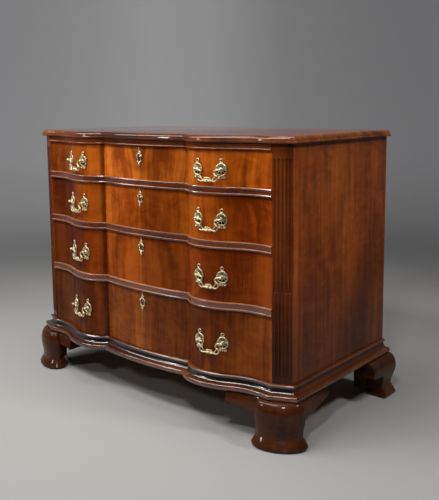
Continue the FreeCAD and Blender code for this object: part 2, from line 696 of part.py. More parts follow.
def drawer_box(index):
    """Front, sides, back and bottom of one drawer, dovetailed and grooved together."""
    z0, z1 = drawer_levels(index)
    side_top = z1 - SIDE_DROP
    side_inner = DRAWER_HALF - DRAWER_SIDE_THICK
    lap_p = plan_p(side_inner, FACE) - DOVETAIL_LAP
    root_p = plan_p(DRAWER_HALF, INSIDE)
    panel_z = z0 + GROOVE_RISE
    panel_top = panel_z + DRAWER_BOTTOM_THICK

    front = front_blank(z0, z1)
    back = block(-DRAWER_HALF, DRAWER_HALF, DRAWER_BACK_P + DRAWER_BACK_THICK, DRAWER_BACK_P,
                 panel_top, side_top - BACK_DROP)
    front_tails = tails(z0, side_top, lap_p, root_p - OVERSHOOT)
    back_tails = tails(panel_top, side_top - BACK_DROP, DRAWER_BACK_P, DRAWER_BACK_P + DRAWER_BACK_THICK)

    panel_half = side_inner + GROOVE_DEPTH
    panel_front = front_edges(INSIDE + GROOVE_DEPTH, panel_half, panel_z)
    panel_p = plan_p(panel_half, INSIDE + GROOVE_DEPTH)
    corners = [(panel_half, panel_p), (panel_half, DRAWER_BACK_P)]
    corners += [(-panel_half, DRAWER_BACK_P), (-panel_half, panel_p)]
    rim = [spot(x, p, panel_z) for x, p in corners]
    panel = prism(panel_front + [line(a, b) for a, b in zip(rim, rim[1:])], DRAWER_BOTTOM_THICK)

    side = block(side_inner, DRAWER_HALF, lap_p, DRAWER_BACK_P, z0, side_top)
    side = side.cut([front.cut(front_tails), back.cut(back_tails)])
    sides = [mirrored(side), side]
    front = front.cut(sides)
    back = back.cut(sides)
    sides = [piece.cut(panel) for piece in sides]
    return front.cut(panel), sides, back, panel


# Keyhole, escutcheon and lock, on the drawer's middle line
def keyhole_tool(z, p0, p1):
    """Keyhole from p0 back to p1."""
    length = p0 - p1
    bore = Part.makeCylinder(KEYHOLE_RADIUS, length, spot(0, p0, z), V(0, 1, 0))
    slot = block(-KEYHOLE_SLOT / 2, KEYHOLE_SLOT / 2, p0, p1, z - KEYHOLE_DROP, z)
    return bore.fuse(slot)


def escutcheon(z):
    face_p = plan_p(0, FACE)
    discs = [Part.makeCylinder(radius, PLATE_THICK, spot(0, face_p + PLATE_THICK, z + rise), V(0, 1, 0))
             for rise, radius in PLATE_DISCS]
    plate = discs[0].fuse(discs[1:]).removeSplitter()
    return plate.cut(keyhole_tool(z, face_p + PLATE_THICK + OVERSHOOT, face_p - OVERSHOOT))


def lock_outline(z1):
    front_p = plan_p(0, INSIDE) + LOCK_LET_IN
    return block(-LOCK_WIDTH / 2, LOCK_WIDTH / 2, front_p, front_p - LOCK_THICK, z1 - LOCK_HEIGHT, z1)


def drawer_lock(z1, key_z):
    """Lock case with its bolt drawn back, the bolt's end level with the selvage."""
    front_p = plan_p(0, INSIDE) + LOCK_LET_IN
    middle_p = front_p - LOCK_THICK / 2
    half = BOLT_THICK / 2
    slot = block(-BOLT_WIDTH / 2, BOLT_WIDTH / 2, middle_p + half, middle_p - half, z1 - BOLT_LENGTH, z1)
    keyway = keyhole_tool(key_z, front_p + OVERSHOOT, front_p - LOCK_KEYWAY)
    case = lock_outline(z1).cut([slot, keyway])
    gap = BOLT_CLEARANCE
    bolt = block(-BOLT_WIDTH / 2 + gap, BOLT_WIDTH / 2 - gap, middle_p + half - gap, middle_p - half + gap,
                 z1 - BOLT_LENGTH, z1)
    return Part.makeCompound([case, bolt])


# Handles, worked out on the right half and mirrored
HANDLE_X = CREST_X + HANDLE_FROM_CREST
POST_X = (HANDLE_X - POST_SPAN / 2, HANDLE_X + POST_SPAN / 2)
NUT_SEAT = FRONT_THICK - NUT_LET_IN


def outward(x):
    """Outward normal of the drawer face at x, as a vector."""
    nx, np = plan_normal(x, FACE)
    return V(nx, -np, 0)


def seat(x, z):
    return spot(x, plan_p(x, FACE), z)


def knob_centres(z):
    return [seat(x, z) + outward(x) * KNOB_STAND for x in POST_X]


def shank(x, z, radius):
    """Rod along the post's axis, from the knob through the drawer front and its nut."""
    length = KNOB_STAND + NUT_SEAT + NUT_THICK + SHANK_END
    return Part.makeCylinder(radius, length, seat(x, z) + outward(x) * KNOB_STAND, outward(x) * -1)


def post_hole(x, z):
    """Bore for a post, with a flat-bottomed recess for its nut in the hollow back of the drawer front."""
    recess = Part.makeCylinder(NUT_RADIUS + NUT_CLEARANCE, NUT_THICK + OVERSHOOT,
                               seat(x, z) - outward(x) * NUT_SEAT, outward(x) * -1)
    return shank(x, z, SHANK_RADIUS + SHANK_CLEARANCE).fuse(recess)


def rose(x, z):
    """Crowned backplate with a ring above and a curl below, bored for the post."""
    n = outward(x)
    base = seat(x, z)
    rim = Part.makeCylinder(ROSE_RADIUS, ROSE_EDGE, base, n)
    crown = Part.makeCone(ROSE_RADIUS, SHANK_RADIUS * 2, ROSE_CROWN, base + n * ROSE_EDGE, n)
    ring = Part.makeCylinder(RING_RADIUS, ROSE_EDGE, base + UP * RING_RISE, n)
    curl = Part.makeCylinder(CURL_RADIUS, ROSE_EDGE, base - UP * CURL_DROP, n)
    neck_height = RING_RISE - ROSE_RADIUS
    neck = Part.makeCylinder(neck_height / 2, ROSE_EDGE, base + UP * (ROSE_RADIUS + neck_height / 4), n)
    plate = rim.fuse([crown, ring, curl, neck]).removeSplitter()
    ring_bore = Part.makeCylinder(RING_BORE, ROSE_EDGE * 3, base + UP * RING_RISE - n * ROSE_EDGE, n)
    return plate.cut([ring_bore, shank(x, z, SHANK_RADIUS)])


def post(x, z, axis_bore):
    body = shank(x, z, SHANK_RADIUS).fuse(Part.makeSphere(KNOB_RADIUS, seat(x, z) + outward(x) * KNOB_STAND))
    return body.cut(axis_bore)


def nut(x, z):
    n = outward(x)
    back = seat(x, z) - n * (NUT_SEAT + NUT_THICK)
    return Part.makeCylinder(NUT_RADIUS, NUT_THICK, back, n).cut(shank(x, z, SHANK_RADIUS))


def bail_axis(z):
    """Start, direction and length of the line through a handle's two knobs."""
    inner, outer = knob_centres(z)
    span = outer - inner
    return inner, V(span).normalize(), span.Length


def handle_mounts(z):
    """Roses, posts and nuts of the right handle."""
    inner, along, span = bail_axis(z)
    past = 2 * KNOB_RADIUS
    bore = Part.makeCylinder(BAIL_ROD + PIN_CLEARANCE, span + 2 * past, inner - along * past, along)
    solids = []
    for x in POST_X:
        solids += [rose(x, z), post(x, z, bore), nut(x, z)]
    return solids


def bail(z):
    """Swan bail: pins in both knobs, rounded shoulders, arms and a beaded grip."""
    inner, along, span = bail_axis(z)
    middle = inner + along * (span / 2)

    def at(u, w):
        return middle + along * u + UP * w

    pin = span / 2 + BAIL_PIN_PAST
    arm = span / 2 - BAIL_ARM_INSET
    turn = 1 - math.sqrt(0.5)
    r = BAIL_SHOULDER
    c = BAIL_CORNER
    path = []
    for side in (-1, 1):
        half = [line(at(side * pin, 0), at(side * (arm + r), 0)),
                Part.Arc(at(side * (arm + r), 0), at(side * (arm + r * turn), -r * turn),
                         at(side * arm, -r)).toShape(),
                line(at(side * arm, -r), at(side * arm, c - BAIL_DROP)),
                Part.Arc(at(side * arm, c - BAIL_DROP), at(side * (arm - c * turn), c * turn - BAIL_DROP),
                         at(side * (arm - c), -BAIL_DROP)).toShape()]
        path.append(half)
    grip = line(at(c - arm, -BAIL_DROP), at(arm - c, -BAIL_DROP))
    spine = Part.Wire(path[0] + [grip] + list(reversed(path[1])))
    section = Part.Wire(Part.makeCircle(BAIL_ROD, at(-pin, 0), along))
    rod = spine.makePipeShell([section], True, True)
    beads = [Part.makeSphere(radius, at(u, -BAIL_DROP), along) for u, radius in BAIL_BEADS]
    return rod.fuse(beads)


# Assembly: every node by name
parts = {}
parts["top_board"] = top_board()
parts["top_rail"] = rail(OPENINGS[0][1], CASE_TOP, rail_profile(OPENINGS[0][1], CASE_TOP))
for number, (rail_low, rail_high) in enumerate(rail_levels(), 1):
    parts["drawer_rail_%d" % number] = rail(rail_low, rail_high, rail_profile(rail_low, rail_high))
parts["bottom_rail"] = bottom_rail()
parts["bottom_board"] = bottom_board()
parts["back_boards"] = back_boards()
parts["drawer_runners"] = drawer_runners()
parts["foot_blocks"] = foot_blocks()
parts["base_moulding_front"] = base_moulding(base_front_wire)
parts["base_moulding_sides"] = pair(base_moulding(base_side_wire))
right_hand = {
    "corner_column": corner_column(),
    "side_panel": side_panel(parts["bottom_board"]),
    "front_foot": front_foot(),
    "rear_foot": rear_foot(),
}
for name, shape in right_hand.items():
    parts[name + "_right"] = shape
    parts[name + "_left"] = mirrored(shape)

for index in range(len(OPENINGS)):
    drawer = "drawer_%d_" % (index + 1)
    z_low, z_high = drawer_levels(index)
    handle_z = (z_low + z_high) / 2 - HANDLE_BELOW_CENTRE
    key_z = z_high - PLATE_BELOW_TOP
    front, sides, back, panel = drawer_box(index)
    face_p = plan_p(0, FACE)
    holes = [post_hole(x, handle_z) for x in POST_X]
    holes += [mirrored(hole) for hole in holes]
    holes += [lock_outline(z_high), keyhole_tool(key_z, face_p + OVERSHOOT, face_p - FRONT_THICK - OVERSHOOT)]
    mounts = handle_mounts(handle_z)
    parts[drawer + "front"] = front.cut(holes)
    parts[drawer + "side_left"] = sides[0]
    parts[drawer + "side_right"] = sides[1]
    parts[drawer + "back"] = back
    parts[drawer + "bottom"] = panel
    parts[drawer + "escutcheon"] = escutcheon(key_z)
    parts[drawer + "lock"] = drawer_lock(z_high, key_z)
    parts[drawer + "handle_mounts"] = Part.makeCompound(mounts + [mirrored(solid) for solid in mounts])
    parts[drawer + "bail_right"] = bail(handle_z)
    parts[drawer + "bail_left"] = mirrored(parts[drawer + "bail_right"])

os.makedirs("parts", exist_ok=True)
for name, shape in parts.items():
    shape.exportStep(os.path.join("parts", name + ".step"))
    problem = "" if shape.isValid() else " NOT VALID"
    print("%s: %d solids, %.0f mm3%s" % (name, len(shape.Solids), shape.Volume, problem))
box = Part.makeCompound(list(parts.values())).BoundBox
print("box", [round(v, 2) for v in (box.XMin, box.XMax, box.YMin, box.YMax, box.ZMin, box.ZMax)])
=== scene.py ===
import math

import bpy
from mathutils import Matrix, Vector


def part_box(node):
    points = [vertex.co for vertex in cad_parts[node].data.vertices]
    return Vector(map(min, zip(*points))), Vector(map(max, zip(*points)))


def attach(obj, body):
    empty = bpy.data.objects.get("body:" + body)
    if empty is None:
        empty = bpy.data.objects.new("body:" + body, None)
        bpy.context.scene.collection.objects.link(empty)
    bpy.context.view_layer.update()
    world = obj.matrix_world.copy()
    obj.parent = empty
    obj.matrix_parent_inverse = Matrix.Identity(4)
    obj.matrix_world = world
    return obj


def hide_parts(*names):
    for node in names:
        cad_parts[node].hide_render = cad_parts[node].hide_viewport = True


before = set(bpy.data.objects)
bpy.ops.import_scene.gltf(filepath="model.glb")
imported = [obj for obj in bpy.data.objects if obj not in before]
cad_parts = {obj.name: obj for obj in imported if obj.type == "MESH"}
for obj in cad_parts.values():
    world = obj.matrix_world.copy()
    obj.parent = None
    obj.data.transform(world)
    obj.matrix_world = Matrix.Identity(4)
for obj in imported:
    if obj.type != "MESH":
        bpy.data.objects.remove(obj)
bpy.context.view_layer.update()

# Oxbow commode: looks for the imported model. Brass is worked out in millimetres and placed in metres.
MM = 0.001
DRAWERS = (1, 2, 3, 4)

# Drawer face arcs that carry the handles: centre x, centre y and radius in plan
RETURN_ARC = (258.0, -178.387, 96.113)
SWELL_ARC = (258.0, -62.9, 211.6)

# Handle posts, from the right half of a drawer front
POST_X = (255.0, 331.0)
KNOB_STAND = 14.0
KNOB_RADIUS = 4.6
SHANK_RADIUS = 3.0
SHANK_END = 4.0
NUT_SEAT = 24.0
NUT_RADIUS = 7.0
NUT_THICK = 5.0

# Drawer face at the keyhole, and the escutcheon node's top above the keyhole's centre
PLATE_FACE_Y = -260.5
PLATE_TOP = 32.0

# Smoothing: facets of one round are smoothed together, true arrises stay sharp
ARRIS_ANGLE = math.radians(28)
BRASS_ARRIS_ANGLE = math.radians(50)
WELD_DISTANCE = 2e-6
POINT_DIGITS = 6

# Steps round and along the brass forms
BAR_SIDES = 10
TURNED_SIDES = 28
BEAD_TURNS = 10
BEAD_SIDES = 18
BEAD_POLE = 0.02
SCROLL_STEPS = 26
SCROLL_PACE = 0.8
UPRIGHT = 90


class Shape:
    """Points, faces and a value of patina and painted shade for each point, in millimetres until a matrix
    places them.
    """

    def __init__(self):
        self.points = []
        self.faces = []
        self.patina_and_shade = []

    def rings(self, rows, patina_and_shade=0.0, caps=True):
        """Skin a list of closed rings with equal counts. patina_and_shade is one value, or a list of one per
        ring.
        """
        start = len(self.points)
        count = len(rows[0])
        for i, row in enumerate(rows):
            self.points += [Vector(point) for point in row]
            self.patina_and_shade += [patina_and_shade[i] if isinstance(patina_and_shade, list) else patina_and_shade] * count
        for i in range(len(rows) - 1):
            a = start + i * count
            b = a + count
            for j in range(count):
                k = (j + 1) % count
                self.faces.append((a + j, a + k, b + k, b + j))
        if caps:
            last = start + (len(rows) - 1) * count
            self.faces.append(tuple(reversed(range(start, start + count))))
            self.faces.append(tuple(range(last, last + count)))

    def add(self, other, matrix, mirrored=False):
        """Take in another shape through a matrix. A mirroring matrix turns the faces round."""
        start = len(self.points)
        self.points += [matrix @ point for point in other.points]
        self.patina_and_shade += other.patina_and_shade
        for face in other.faces:
            ends = tuple(start + i for i in face)
            self.faces.append(tuple(reversed(ends)) if mirrored else ends)


def circle(count):
    """Angles in equal steps once round."""
    return [2 * math.pi * k / count for k in range(count)]


def ease(a, b, t):
    """Smooth step from 0 at a to 1 at b."""
    t = min(1.0, max(0.0, (t - a) / (b - a)))
    return t * t * (3 - 2 * t)


def sided(points, factor):
    """Points with x times a factor: 1 or -1 for a side, or more where a side is drawn wider."""
    return [(factor * x, y, z) for x, y, z in points]


def smooth_path(points, per_span):
    """Points of a smooth curve through the given ones."""
    out = []
    pts = [Vector(p) for p in points]
    ends = [2 * pts[0] - pts[1]] + pts + [2 * pts[-1] - pts[-2]]
    for i in range(1, len(ends) - 2):
        p0, p1, p2, p3 = ends[i - 1:i + 3]
        for k in range(per_span):
            t = k / per_span
            out.append(0.5 * (2 * p1 + (p2 - p0) * t + (2 * p0 - 5 * p1 + 4 * p2 - p3) * t * t
                              + (3 * p1 - p0 - 3 * p2 + p3) * t ** 3))
    return out + [pts[-1]]


def tube(shape, path, radii, patina_and_shade=0.0, sides=BAR_SIDES):
    """Round bar along a path that lies across the outward direction. radii are at its start and end."""
    first, last = radii
    rows = []
    for i, point in enumerate(path):
        ahead = path[min(i + 1, len(path) - 1)] - path[max(i - 1, 0)]
        side = ahead.cross(Vector((0, 0, 1))).normalized()
        lift = side.cross(ahead).normalized()
        radius = first + (last - first) * i / (len(path) - 1)
        rows.append([point + side * radius * math.cos(a) + lift * radius * math.sin(a)
                     for a in circle(sides)])
    shape.rings(rows, patina_and_shade)


def lathe(shape, profile, patina_and_shade=0.0, sides=TURNED_SIDES):
    """Turned form about the outward direction, from a profile of radius and height."""
    rows = []
    for radius, height in profile:
        rows.append([(radius * math.cos(a), radius * math.sin(a), height) for a in circle(sides)])
    shape.rings(rows, patina_and_shade)


def ring(shape, centre, height, radius, bar, sides=TURNED_SIDES):
    """Open ring lying in the plate's plane."""
    rows = []
    for i in range(sides + 1):
        a = 2 * math.pi * i / sides
        out = Vector((math.cos(a), math.sin(a), 0))
        middle = Vector((*centre, height)) + out * radius
        rows.append([middle + out * bar * math.cos(t) + Vector((0, 0, bar * math.sin(t)))
                     for t in circle(BAR_SIDES)])
    shape.rings(rows, caps=False)


def bead(shape, centre, size):
    """Rounded bead with its own size along each direction."""
    rows = []
    for i in range(BEAD_TURNS + 1):
        a = math.pi * (BEAD_POLE + (1 - 2 * BEAD_POLE) * i / BEAD_TURNS)
        rows.append([(centre[0] + size[0] * math.sin(a) * math.cos(b),
                      centre[1] + size[1] * math.sin(a) * math.sin(b),
                      centre[2] - size[2] * math.cos(a)) for b in circle(BEAD_SIDES)])
    shape.rings(rows)


def scroll(centre, reach, start_angle, turn, height):
    """Spiral path in the plate's plane from the first reach to the second, angles in degrees."""
    path = []
    for i in range(SCROLL_STEPS + 1):
        t = i / SCROLL_STEPS
        a = math.radians(start_angle + turn * t)
        radius = reach[0] + (reach[1] - reach[0]) * t ** SCROLL_PACE
        path.append(Vector((centre[0] + radius * math.cos(a), centre[1] + radius * math.sin(a), height)))
    return path


# Rose: a plate dark with patina and painted shade in a bright rim, ribs rayed above a collar, bars below it,
# a ring on top and two curls.
# Profiles give distance from the post and height over the drawer face. Radii are a bar's start and end.
ROSE_PROFILE = ((16.0, 0.0), (16.0, 0.9), (10.0, 1.3), (5.0, 2.2), (3.0, 2.4))
# The plate's dark is patina, and painted shade standing for the gaps between the ribs
ROSE_PATINA_AND_SHADE = 1.0
ROSE_SIDES = 48
RIM_HEIGHT = 1.9
RIM_RADIUS = 16.2
RIM_BAR = 1.8
RIM_SIDES = 56
COLLAR_HEIGHT = 4.0
COLLAR_RADIUS = 5.2
COLLAR_BAR = 1.3
COLLAR_SIDES = 36
RAY_STEPS = 5
UPPER_RIBS = 9
UPPER_START = -6.0
UPPER_SWEEP = 192.0
UPPER_PROFILE = ((5.8, 3.4), (10.0, 3.2), (15.2, 1.7))
UPPER_RADII = (1.0, 1.9)
UPPER_PATINA = 0.40
LOWER_BARS = (-40.0, -90.0, -140.0)
LOWER_PROFILE = ((5.8, 3.2), (10.5, 2.6), (15.2, 1.8))
LOWER_RADII = (1.2, 1.0)
LOWER_PATINA = 0.15
FINIAL_PLACE = (0.0, 24.6)
FINIAL_HEIGHT = 1.9
FINIAL_RADIUS = 4.7
FINIAL_BAR = 1.5
CURL_PLACE = (6.8, -20.6)
CURL_HEIGHT = 2.0
CURL_REACH = (4.8, 1.2)
CURL_START = 60.0
CURL_TURN = 400.0
CURL_RADII = (1.8, 1.0)
CURL_EYE = (1.7, 1.7, 1.7)

# Beads of the rose: centre and size
FINIAL_BEAD = ((0.0, 18.4, 1.9), (3.4, 1.9, 1.9))
DROP_BEADS = (((0.0, -20.5, 1.8), (2.2, 4.6, 2.0)), ((0.0, -24.8, 1.6), (1.7, 1.6, 1.6)))


def ray(degrees, profile):
    """Path outward from the post in one direction."""
    out = Vector((math.cos(math.radians(degrees)), math.sin(math.radians(degrees)), 0))
    return smooth_path([out * reach + Vector((0, 0, height)) for reach, height in profile], RAY_STEPS)


def rose():
    """Ribbed plate behind a post, about the post's seat."""
    shape = Shape()
    lathe(shape, ROSE_PROFILE, ROSE_PATINA_AND_SHADE, ROSE_SIDES)
    ring(shape, (0.0, 0.0), RIM_HEIGHT, RIM_RADIUS, RIM_BAR, RIM_SIDES)
    ring(shape, (0.0, 0.0), COLLAR_HEIGHT, COLLAR_RADIUS, COLLAR_BAR, COLLAR_SIDES)
    for i in range(UPPER_RIBS):
        degrees = UPPER_START + UPPER_SWEEP * i / (UPPER_RIBS - 1)
        tube(shape, ray(degrees, UPPER_PROFILE), UPPER_RADII, UPPER_PATINA)
    for degrees in LOWER_BARS:
        tube(shape, ray(degrees, LOWER_PROFILE), LOWER_RADII, LOWER_PATINA)
    ring(shape, FINIAL_PLACE, FINIAL_HEIGHT, FINIAL_RADIUS, FINIAL_BAR)
    bead(shape, *FINIAL_BEAD)
    for side in (-1, 1):
        x, y = side * CURL_PLACE[0], CURL_PLACE[1]
        curl = scroll((x, y), CURL_REACH, UPRIGHT - side * CURL_START, -side * CURL_TURN, CURL_HEIGHT)
        tube(shape, curl, CURL_RADII)
        bead(shape, (x, y, CURL_HEIGHT), CURL_EYE)
    for centre, size in DROP_BEADS:
        bead(shape, centre, size)
    return shape


# Post: profiles of radius and height, and chamfers as radius and length taken off
POST_COLLAR = [(4.4, 3.6), (4.9, 4.4), (4.4, 5.2), (3.4, 6.4), (3.0, 7.8)]
KNOB_DEGREES = range(40, 180, 10)
BUTTON_PROFILE = ((1.9, -0.2), (1.6, 0.4))
SHANK_CHAMFER = (0.5, 0.6)
NUT_CHAMFER = (0.9, 0.7)
NUT_SIDES = 6
NUT_PATINA = 0.35


def post():
    """Baluster post with a ball knob, and behind the drawer front its shank end and hexagonal nut."""
    shape = Shape()
    ball = [(KNOB_RADIUS * math.sin(a), KNOB_STAND - KNOB_RADIUS * math.cos(a))
            for a in [math.radians(degrees) for degrees in KNOB_DEGREES]]
    knob_end = KNOB_STAND + KNOB_RADIUS
    button = [(radius, knob_end + height) for radius, height in BUTTON_PROFILE]
    lathe(shape, POST_COLLAR + ball + button)
    back = -NUT_SEAT - NUT_THICK
    tip = back - SHANK_END
    shank = [(SHANK_RADIUS - SHANK_CHAMFER[0], tip), (SHANK_RADIUS, tip + SHANK_CHAMFER[1]),
             (SHANK_RADIUS, back)]
    lathe(shape, shank, NUT_PATINA)
    nut = [(NUT_RADIUS - NUT_CHAMFER[0], back), (NUT_RADIUS, back + NUT_CHAMFER[1]),
           (NUT_RADIUS, back + NUT_THICK)]
    lathe(shape, nut, NUT_PATINA, NUT_SIDES)
    return shape


# Bail bars: radii, then routes as distance in from the knob and height over the pins
BAIL_ROD = 2.2
ARM_BAR = 2.4
LOOP_BAR = 1.75
BAIL_DROP = 30.0
PIN_ROUTE = ((-4.0, 0.0), (3.0, 0.0), (7.0, 0.0))
ARM_ROUTE = ((6.0, 0.0), (12.0, -0.6), (17.6, -3.2), (20.0, -8.4), (17.2, -13.4), (12.0, -16.4))
LOOP_OUTER = ((13.0, -15.8), (9.4, -19.4), (9.6, -25.4), (13.8, -30.4), (20.0, -32.4))
LOOP_INNER = ((13.0, -15.8), (17.6, -19.4), (21.6, -24.4), (24.6, -28.8), (27.0, -31.0))
GRIP_OUTER = ((20.0, -32.4), (26.0, -31.6))
PIN_STEPS = 4
ARM_STEPS = 6
LOOP_STEPS = 7
GRIP_STEPS = 6
PIN_SIDES = 14
LOOP_SIDES = 12

# Bail ornament, from the bail's middle: the grip's inner end, leaves, eyes and beads
GRIP_INNER = ((10.0, -30.6, 0.0), (0.0, -BAIL_DROP, 0.0))
LEAF_OVER = ((2.4, -24.4, 0.8), (6.2, -22.8, 1.0), (10.2, -25.4, 0.6), (14.0, -30.0, 0.0))
LEAF_OVER_RADII = (1.7, 0.9)
LEAF_UNDER = ((2.4, -32.6, 0.8), (7.0, -33.2, 0.8), (12.5, -31.8, 0.2))
LEAF_UNDER_RADII = (1.4, 0.8)
LEAF_STEPS = 7
EYE_X = 6.6
EYE_RADIUS = 3.1
EYE_BAR = 1.4
KNUCKLE_ROUTE = (12.6, -16.0)
KNUCKLE_SIZE = (2.9, 2.6, 3.1)
KNOT_BEADS = (((0.0, -BAIL_DROP, 0.4), (3.2, 4.5, 4.2)), ((0.0, -23.0, 0.4), (2.6, 2.2, 2.2)))


def from_knob(route, knob, side):
    """Points of a route that is given inward from a knob, on one side of the bail."""
    return [(side * (knob - inward), height, 0) for inward, height in route]


def bail(span):
    """Swan bail: pins, bent arms, an open loop at each lower corner and a leafy knot on the grip."""
    shape = Shape()
    knob = span / 2
    bars = (
        (PIN_ROUTE, PIN_STEPS, (BAIL_ROD, BAIL_ROD), PIN_SIDES),
        (ARM_ROUTE, ARM_STEPS, (BAIL_ROD, ARM_BAR), PIN_SIDES),
        (LOOP_OUTER, LOOP_STEPS, (ARM_BAR, LOOP_BAR), LOOP_SIDES),
        (LOOP_INNER, LOOP_STEPS, (LOOP_BAR, LOOP_BAR), LOOP_SIDES),
    )
    for side in (-1, 1):
        for route, steps, radii, sides in bars:
            tube(shape, smooth_path(from_knob(route, knob, side), steps), radii, sides=sides)
        grip = from_knob(GRIP_OUTER, knob, side) + sided(GRIP_INNER, side)
        tube(shape, smooth_path(grip, GRIP_STEPS), (LOOP_BAR, BAIL_ROD), sides=LOOP_SIDES)
        bead(shape, from_knob((KNUCKLE_ROUTE,), knob, side)[0], KNUCKLE_SIZE)
        ring(shape, (side * EYE_X, -BAIL_DROP), 0.0, EYE_RADIUS, EYE_BAR)
        tube(shape, smooth_path(sided(LEAF_OVER, side), LEAF_STEPS), LEAF_OVER_RADII)
        tube(shape, smooth_path(sided(LEAF_UNDER, side), LEAF_STEPS), LEAF_UNDER_RADII)
    for centre, size in KNOT_BEADS:
        bead(shape, centre, size)
    return shape


# Escutcheon plate: outline as degrees and reach from its centre. Rows give the share of the way from the
# keyhole to the outline, the height over the drawer face and the patina and painted shade: the dark rim is a
# painted shadow round the plate, and the dark field is patina and painted shade between the scrolls.
PLATE_CENTRE = (0.0, -2.5)
PLATE_OUTLINE = ((0, 8.6), (20, 10.6), (38, 10.2), (52, 13.0), (66, 15.6), (78, 17.2), (85, 24.0), (90, 31.0),
                 (95, 24.0), (102, 17.0), (116, 14.6), (132, 12.0), (148, 11.2), (164, 11.0), (180, 9.0),
                 (200, 8.2), (220, 9.4), (238, 11.6), (252, 14.4), (262, 20.5), (270, 27.6), (278, 20.5),
                 (288, 14.4), (302, 11.2), (322, 9.0), (342, 8.4), (360, 8.6))
PLATE_ROWS = ((1.0, 0.0, 0.9), (1.0, 1.1, 0.9), (0.93, 1.5, 0.8), (0.84, 1.1, 0.95), (0.5, 0.9, 1.0),
              (0.22, 1.0, 0.95), (0.12, 2.2, 0.0), (0.0, 2.2, 0.0), (0.0, 0.0, 0.9))
PLATE_SIDES = 144
KEYHOLE_RADIUS = 3.4
KEYHOLE_SLOT = 2.5
KEYHOLE_DROP = 9.0
KEYHOLE_STEP = 0.05

# Scrollwork on both sides of the plate, its shoulder drawn wider on the left
SCROLL_HEIGHT = 1.9
LEFT_LEAN = 1.12
STEM_HEAD = ((2.6, 10.2, 1.8),)
STEM_SHOULDER = ((6.8, 7.6, 1.9), (8.6, 1.6, 1.9))
STEM_FOOT = ((6.8, -4.6, 1.9), (8.2, -9.4, 1.9), (4.2, -13.2, 1.9), (1.4, -17.4, 1.8))
STEM_RADII = (1.3, 1.5)
STEM_STEPS = 7
SHOULDER_PLACE = (8.8, 5.6)
SHOULDER_REACH = (3.0, 0.9)
SHOULDER_START = 50
SHOULDER_TURN = 430
SHOULDER_RADII = (1.4, 0.9)
SHOULDER_EYE = (9.8, 5.8, 1.9)
SHOULDER_EYE_SIZE = (2.0, 2.0, 1.8)
HIP_PLACE = (6.2, -11.6)
HIP_REACH = (2.8, 0.8)
HIP_START = 90
HIP_TURN = 400
HIP_RADII = (1.3, 0.8)

# Scrollwork in the middle of the plate, its head above the keyhole and its tail below
HEAD_RING = (2.6, 15.2)
HEAD_RING_RADIUS = 3.1
HEAD_RING_BAR = 1.6
HEAD_STEM = ((-1.0, 10.6, 1.9), (-4.8, 14.4, 1.9), (-2.8, 19.0, 1.9), (-0.4, 22.6, 1.9), (0.0, 30.0, 1.5))
HEAD_STEM_RADII = (2.0, 1.3)
HEAD_BRANCH = ((3.6, 18.6, 1.9), (2.2, 21.6, 1.9), (0.4, 23.4, 1.8))
HEAD_BRANCH_RADII = (1.5, 1.2)
HEAD_BEAD = ((0.0, 29.2, 1.5), (1.8, 2.4, 1.5))
TAIL_STEM = ((0.0, -15.6, 1.9), (2.0, -19.0, 1.9), (0.8, -23.0, 1.9), (-0.6, -26.0, 1.8), (0.0, -29.2, 1.5))
TAIL_STEM_RADII = (2.1, 1.2)
TAIL_PLACE = (-2.6, -21.0)
TAIL_REACH = (2.6, 0.8)
TAIL_START = 30
TAIL_TURN = 330
TAIL_RADII = (1.5, 0.9)
TAIL_BEAD = ((1.0, -12.6, 1.9), (2.4, 2.4, 2.0))
MIDDLE_STEPS = 8


def keyhole_reach(angle):
    """Distance from the plate's centre to the keyhole's edge."""
    reach = 0.0
    while True:
        x = PLATE_CENTRE[0] + (reach + KEYHOLE_STEP) * math.cos(angle)
        y = PLATE_CENTRE[1] + (reach + KEYHOLE_STEP) * math.sin(angle)
        in_bore = math.hypot(x, y) <= KEYHOLE_RADIUS
        in_slot = abs(x) <= KEYHOLE_SLOT and -KEYHOLE_DROP <= y <= 0
        if not in_bore and not in_slot:
            return reach
        reach += KEYHOLE_STEP


def outline_reach(angle):
    """Distance from the plate's centre to its outline."""
    degrees = math.degrees(angle)
    for (a0, r0), (a1, r1) in zip(PLATE_OUTLINE, PLATE_OUTLINE[1:]):
        if a0 <= degrees <= a1:
            return r0 + (r1 - r0) * ease(a0, a1, degrees)
    return PLATE_OUTLINE[0][1]


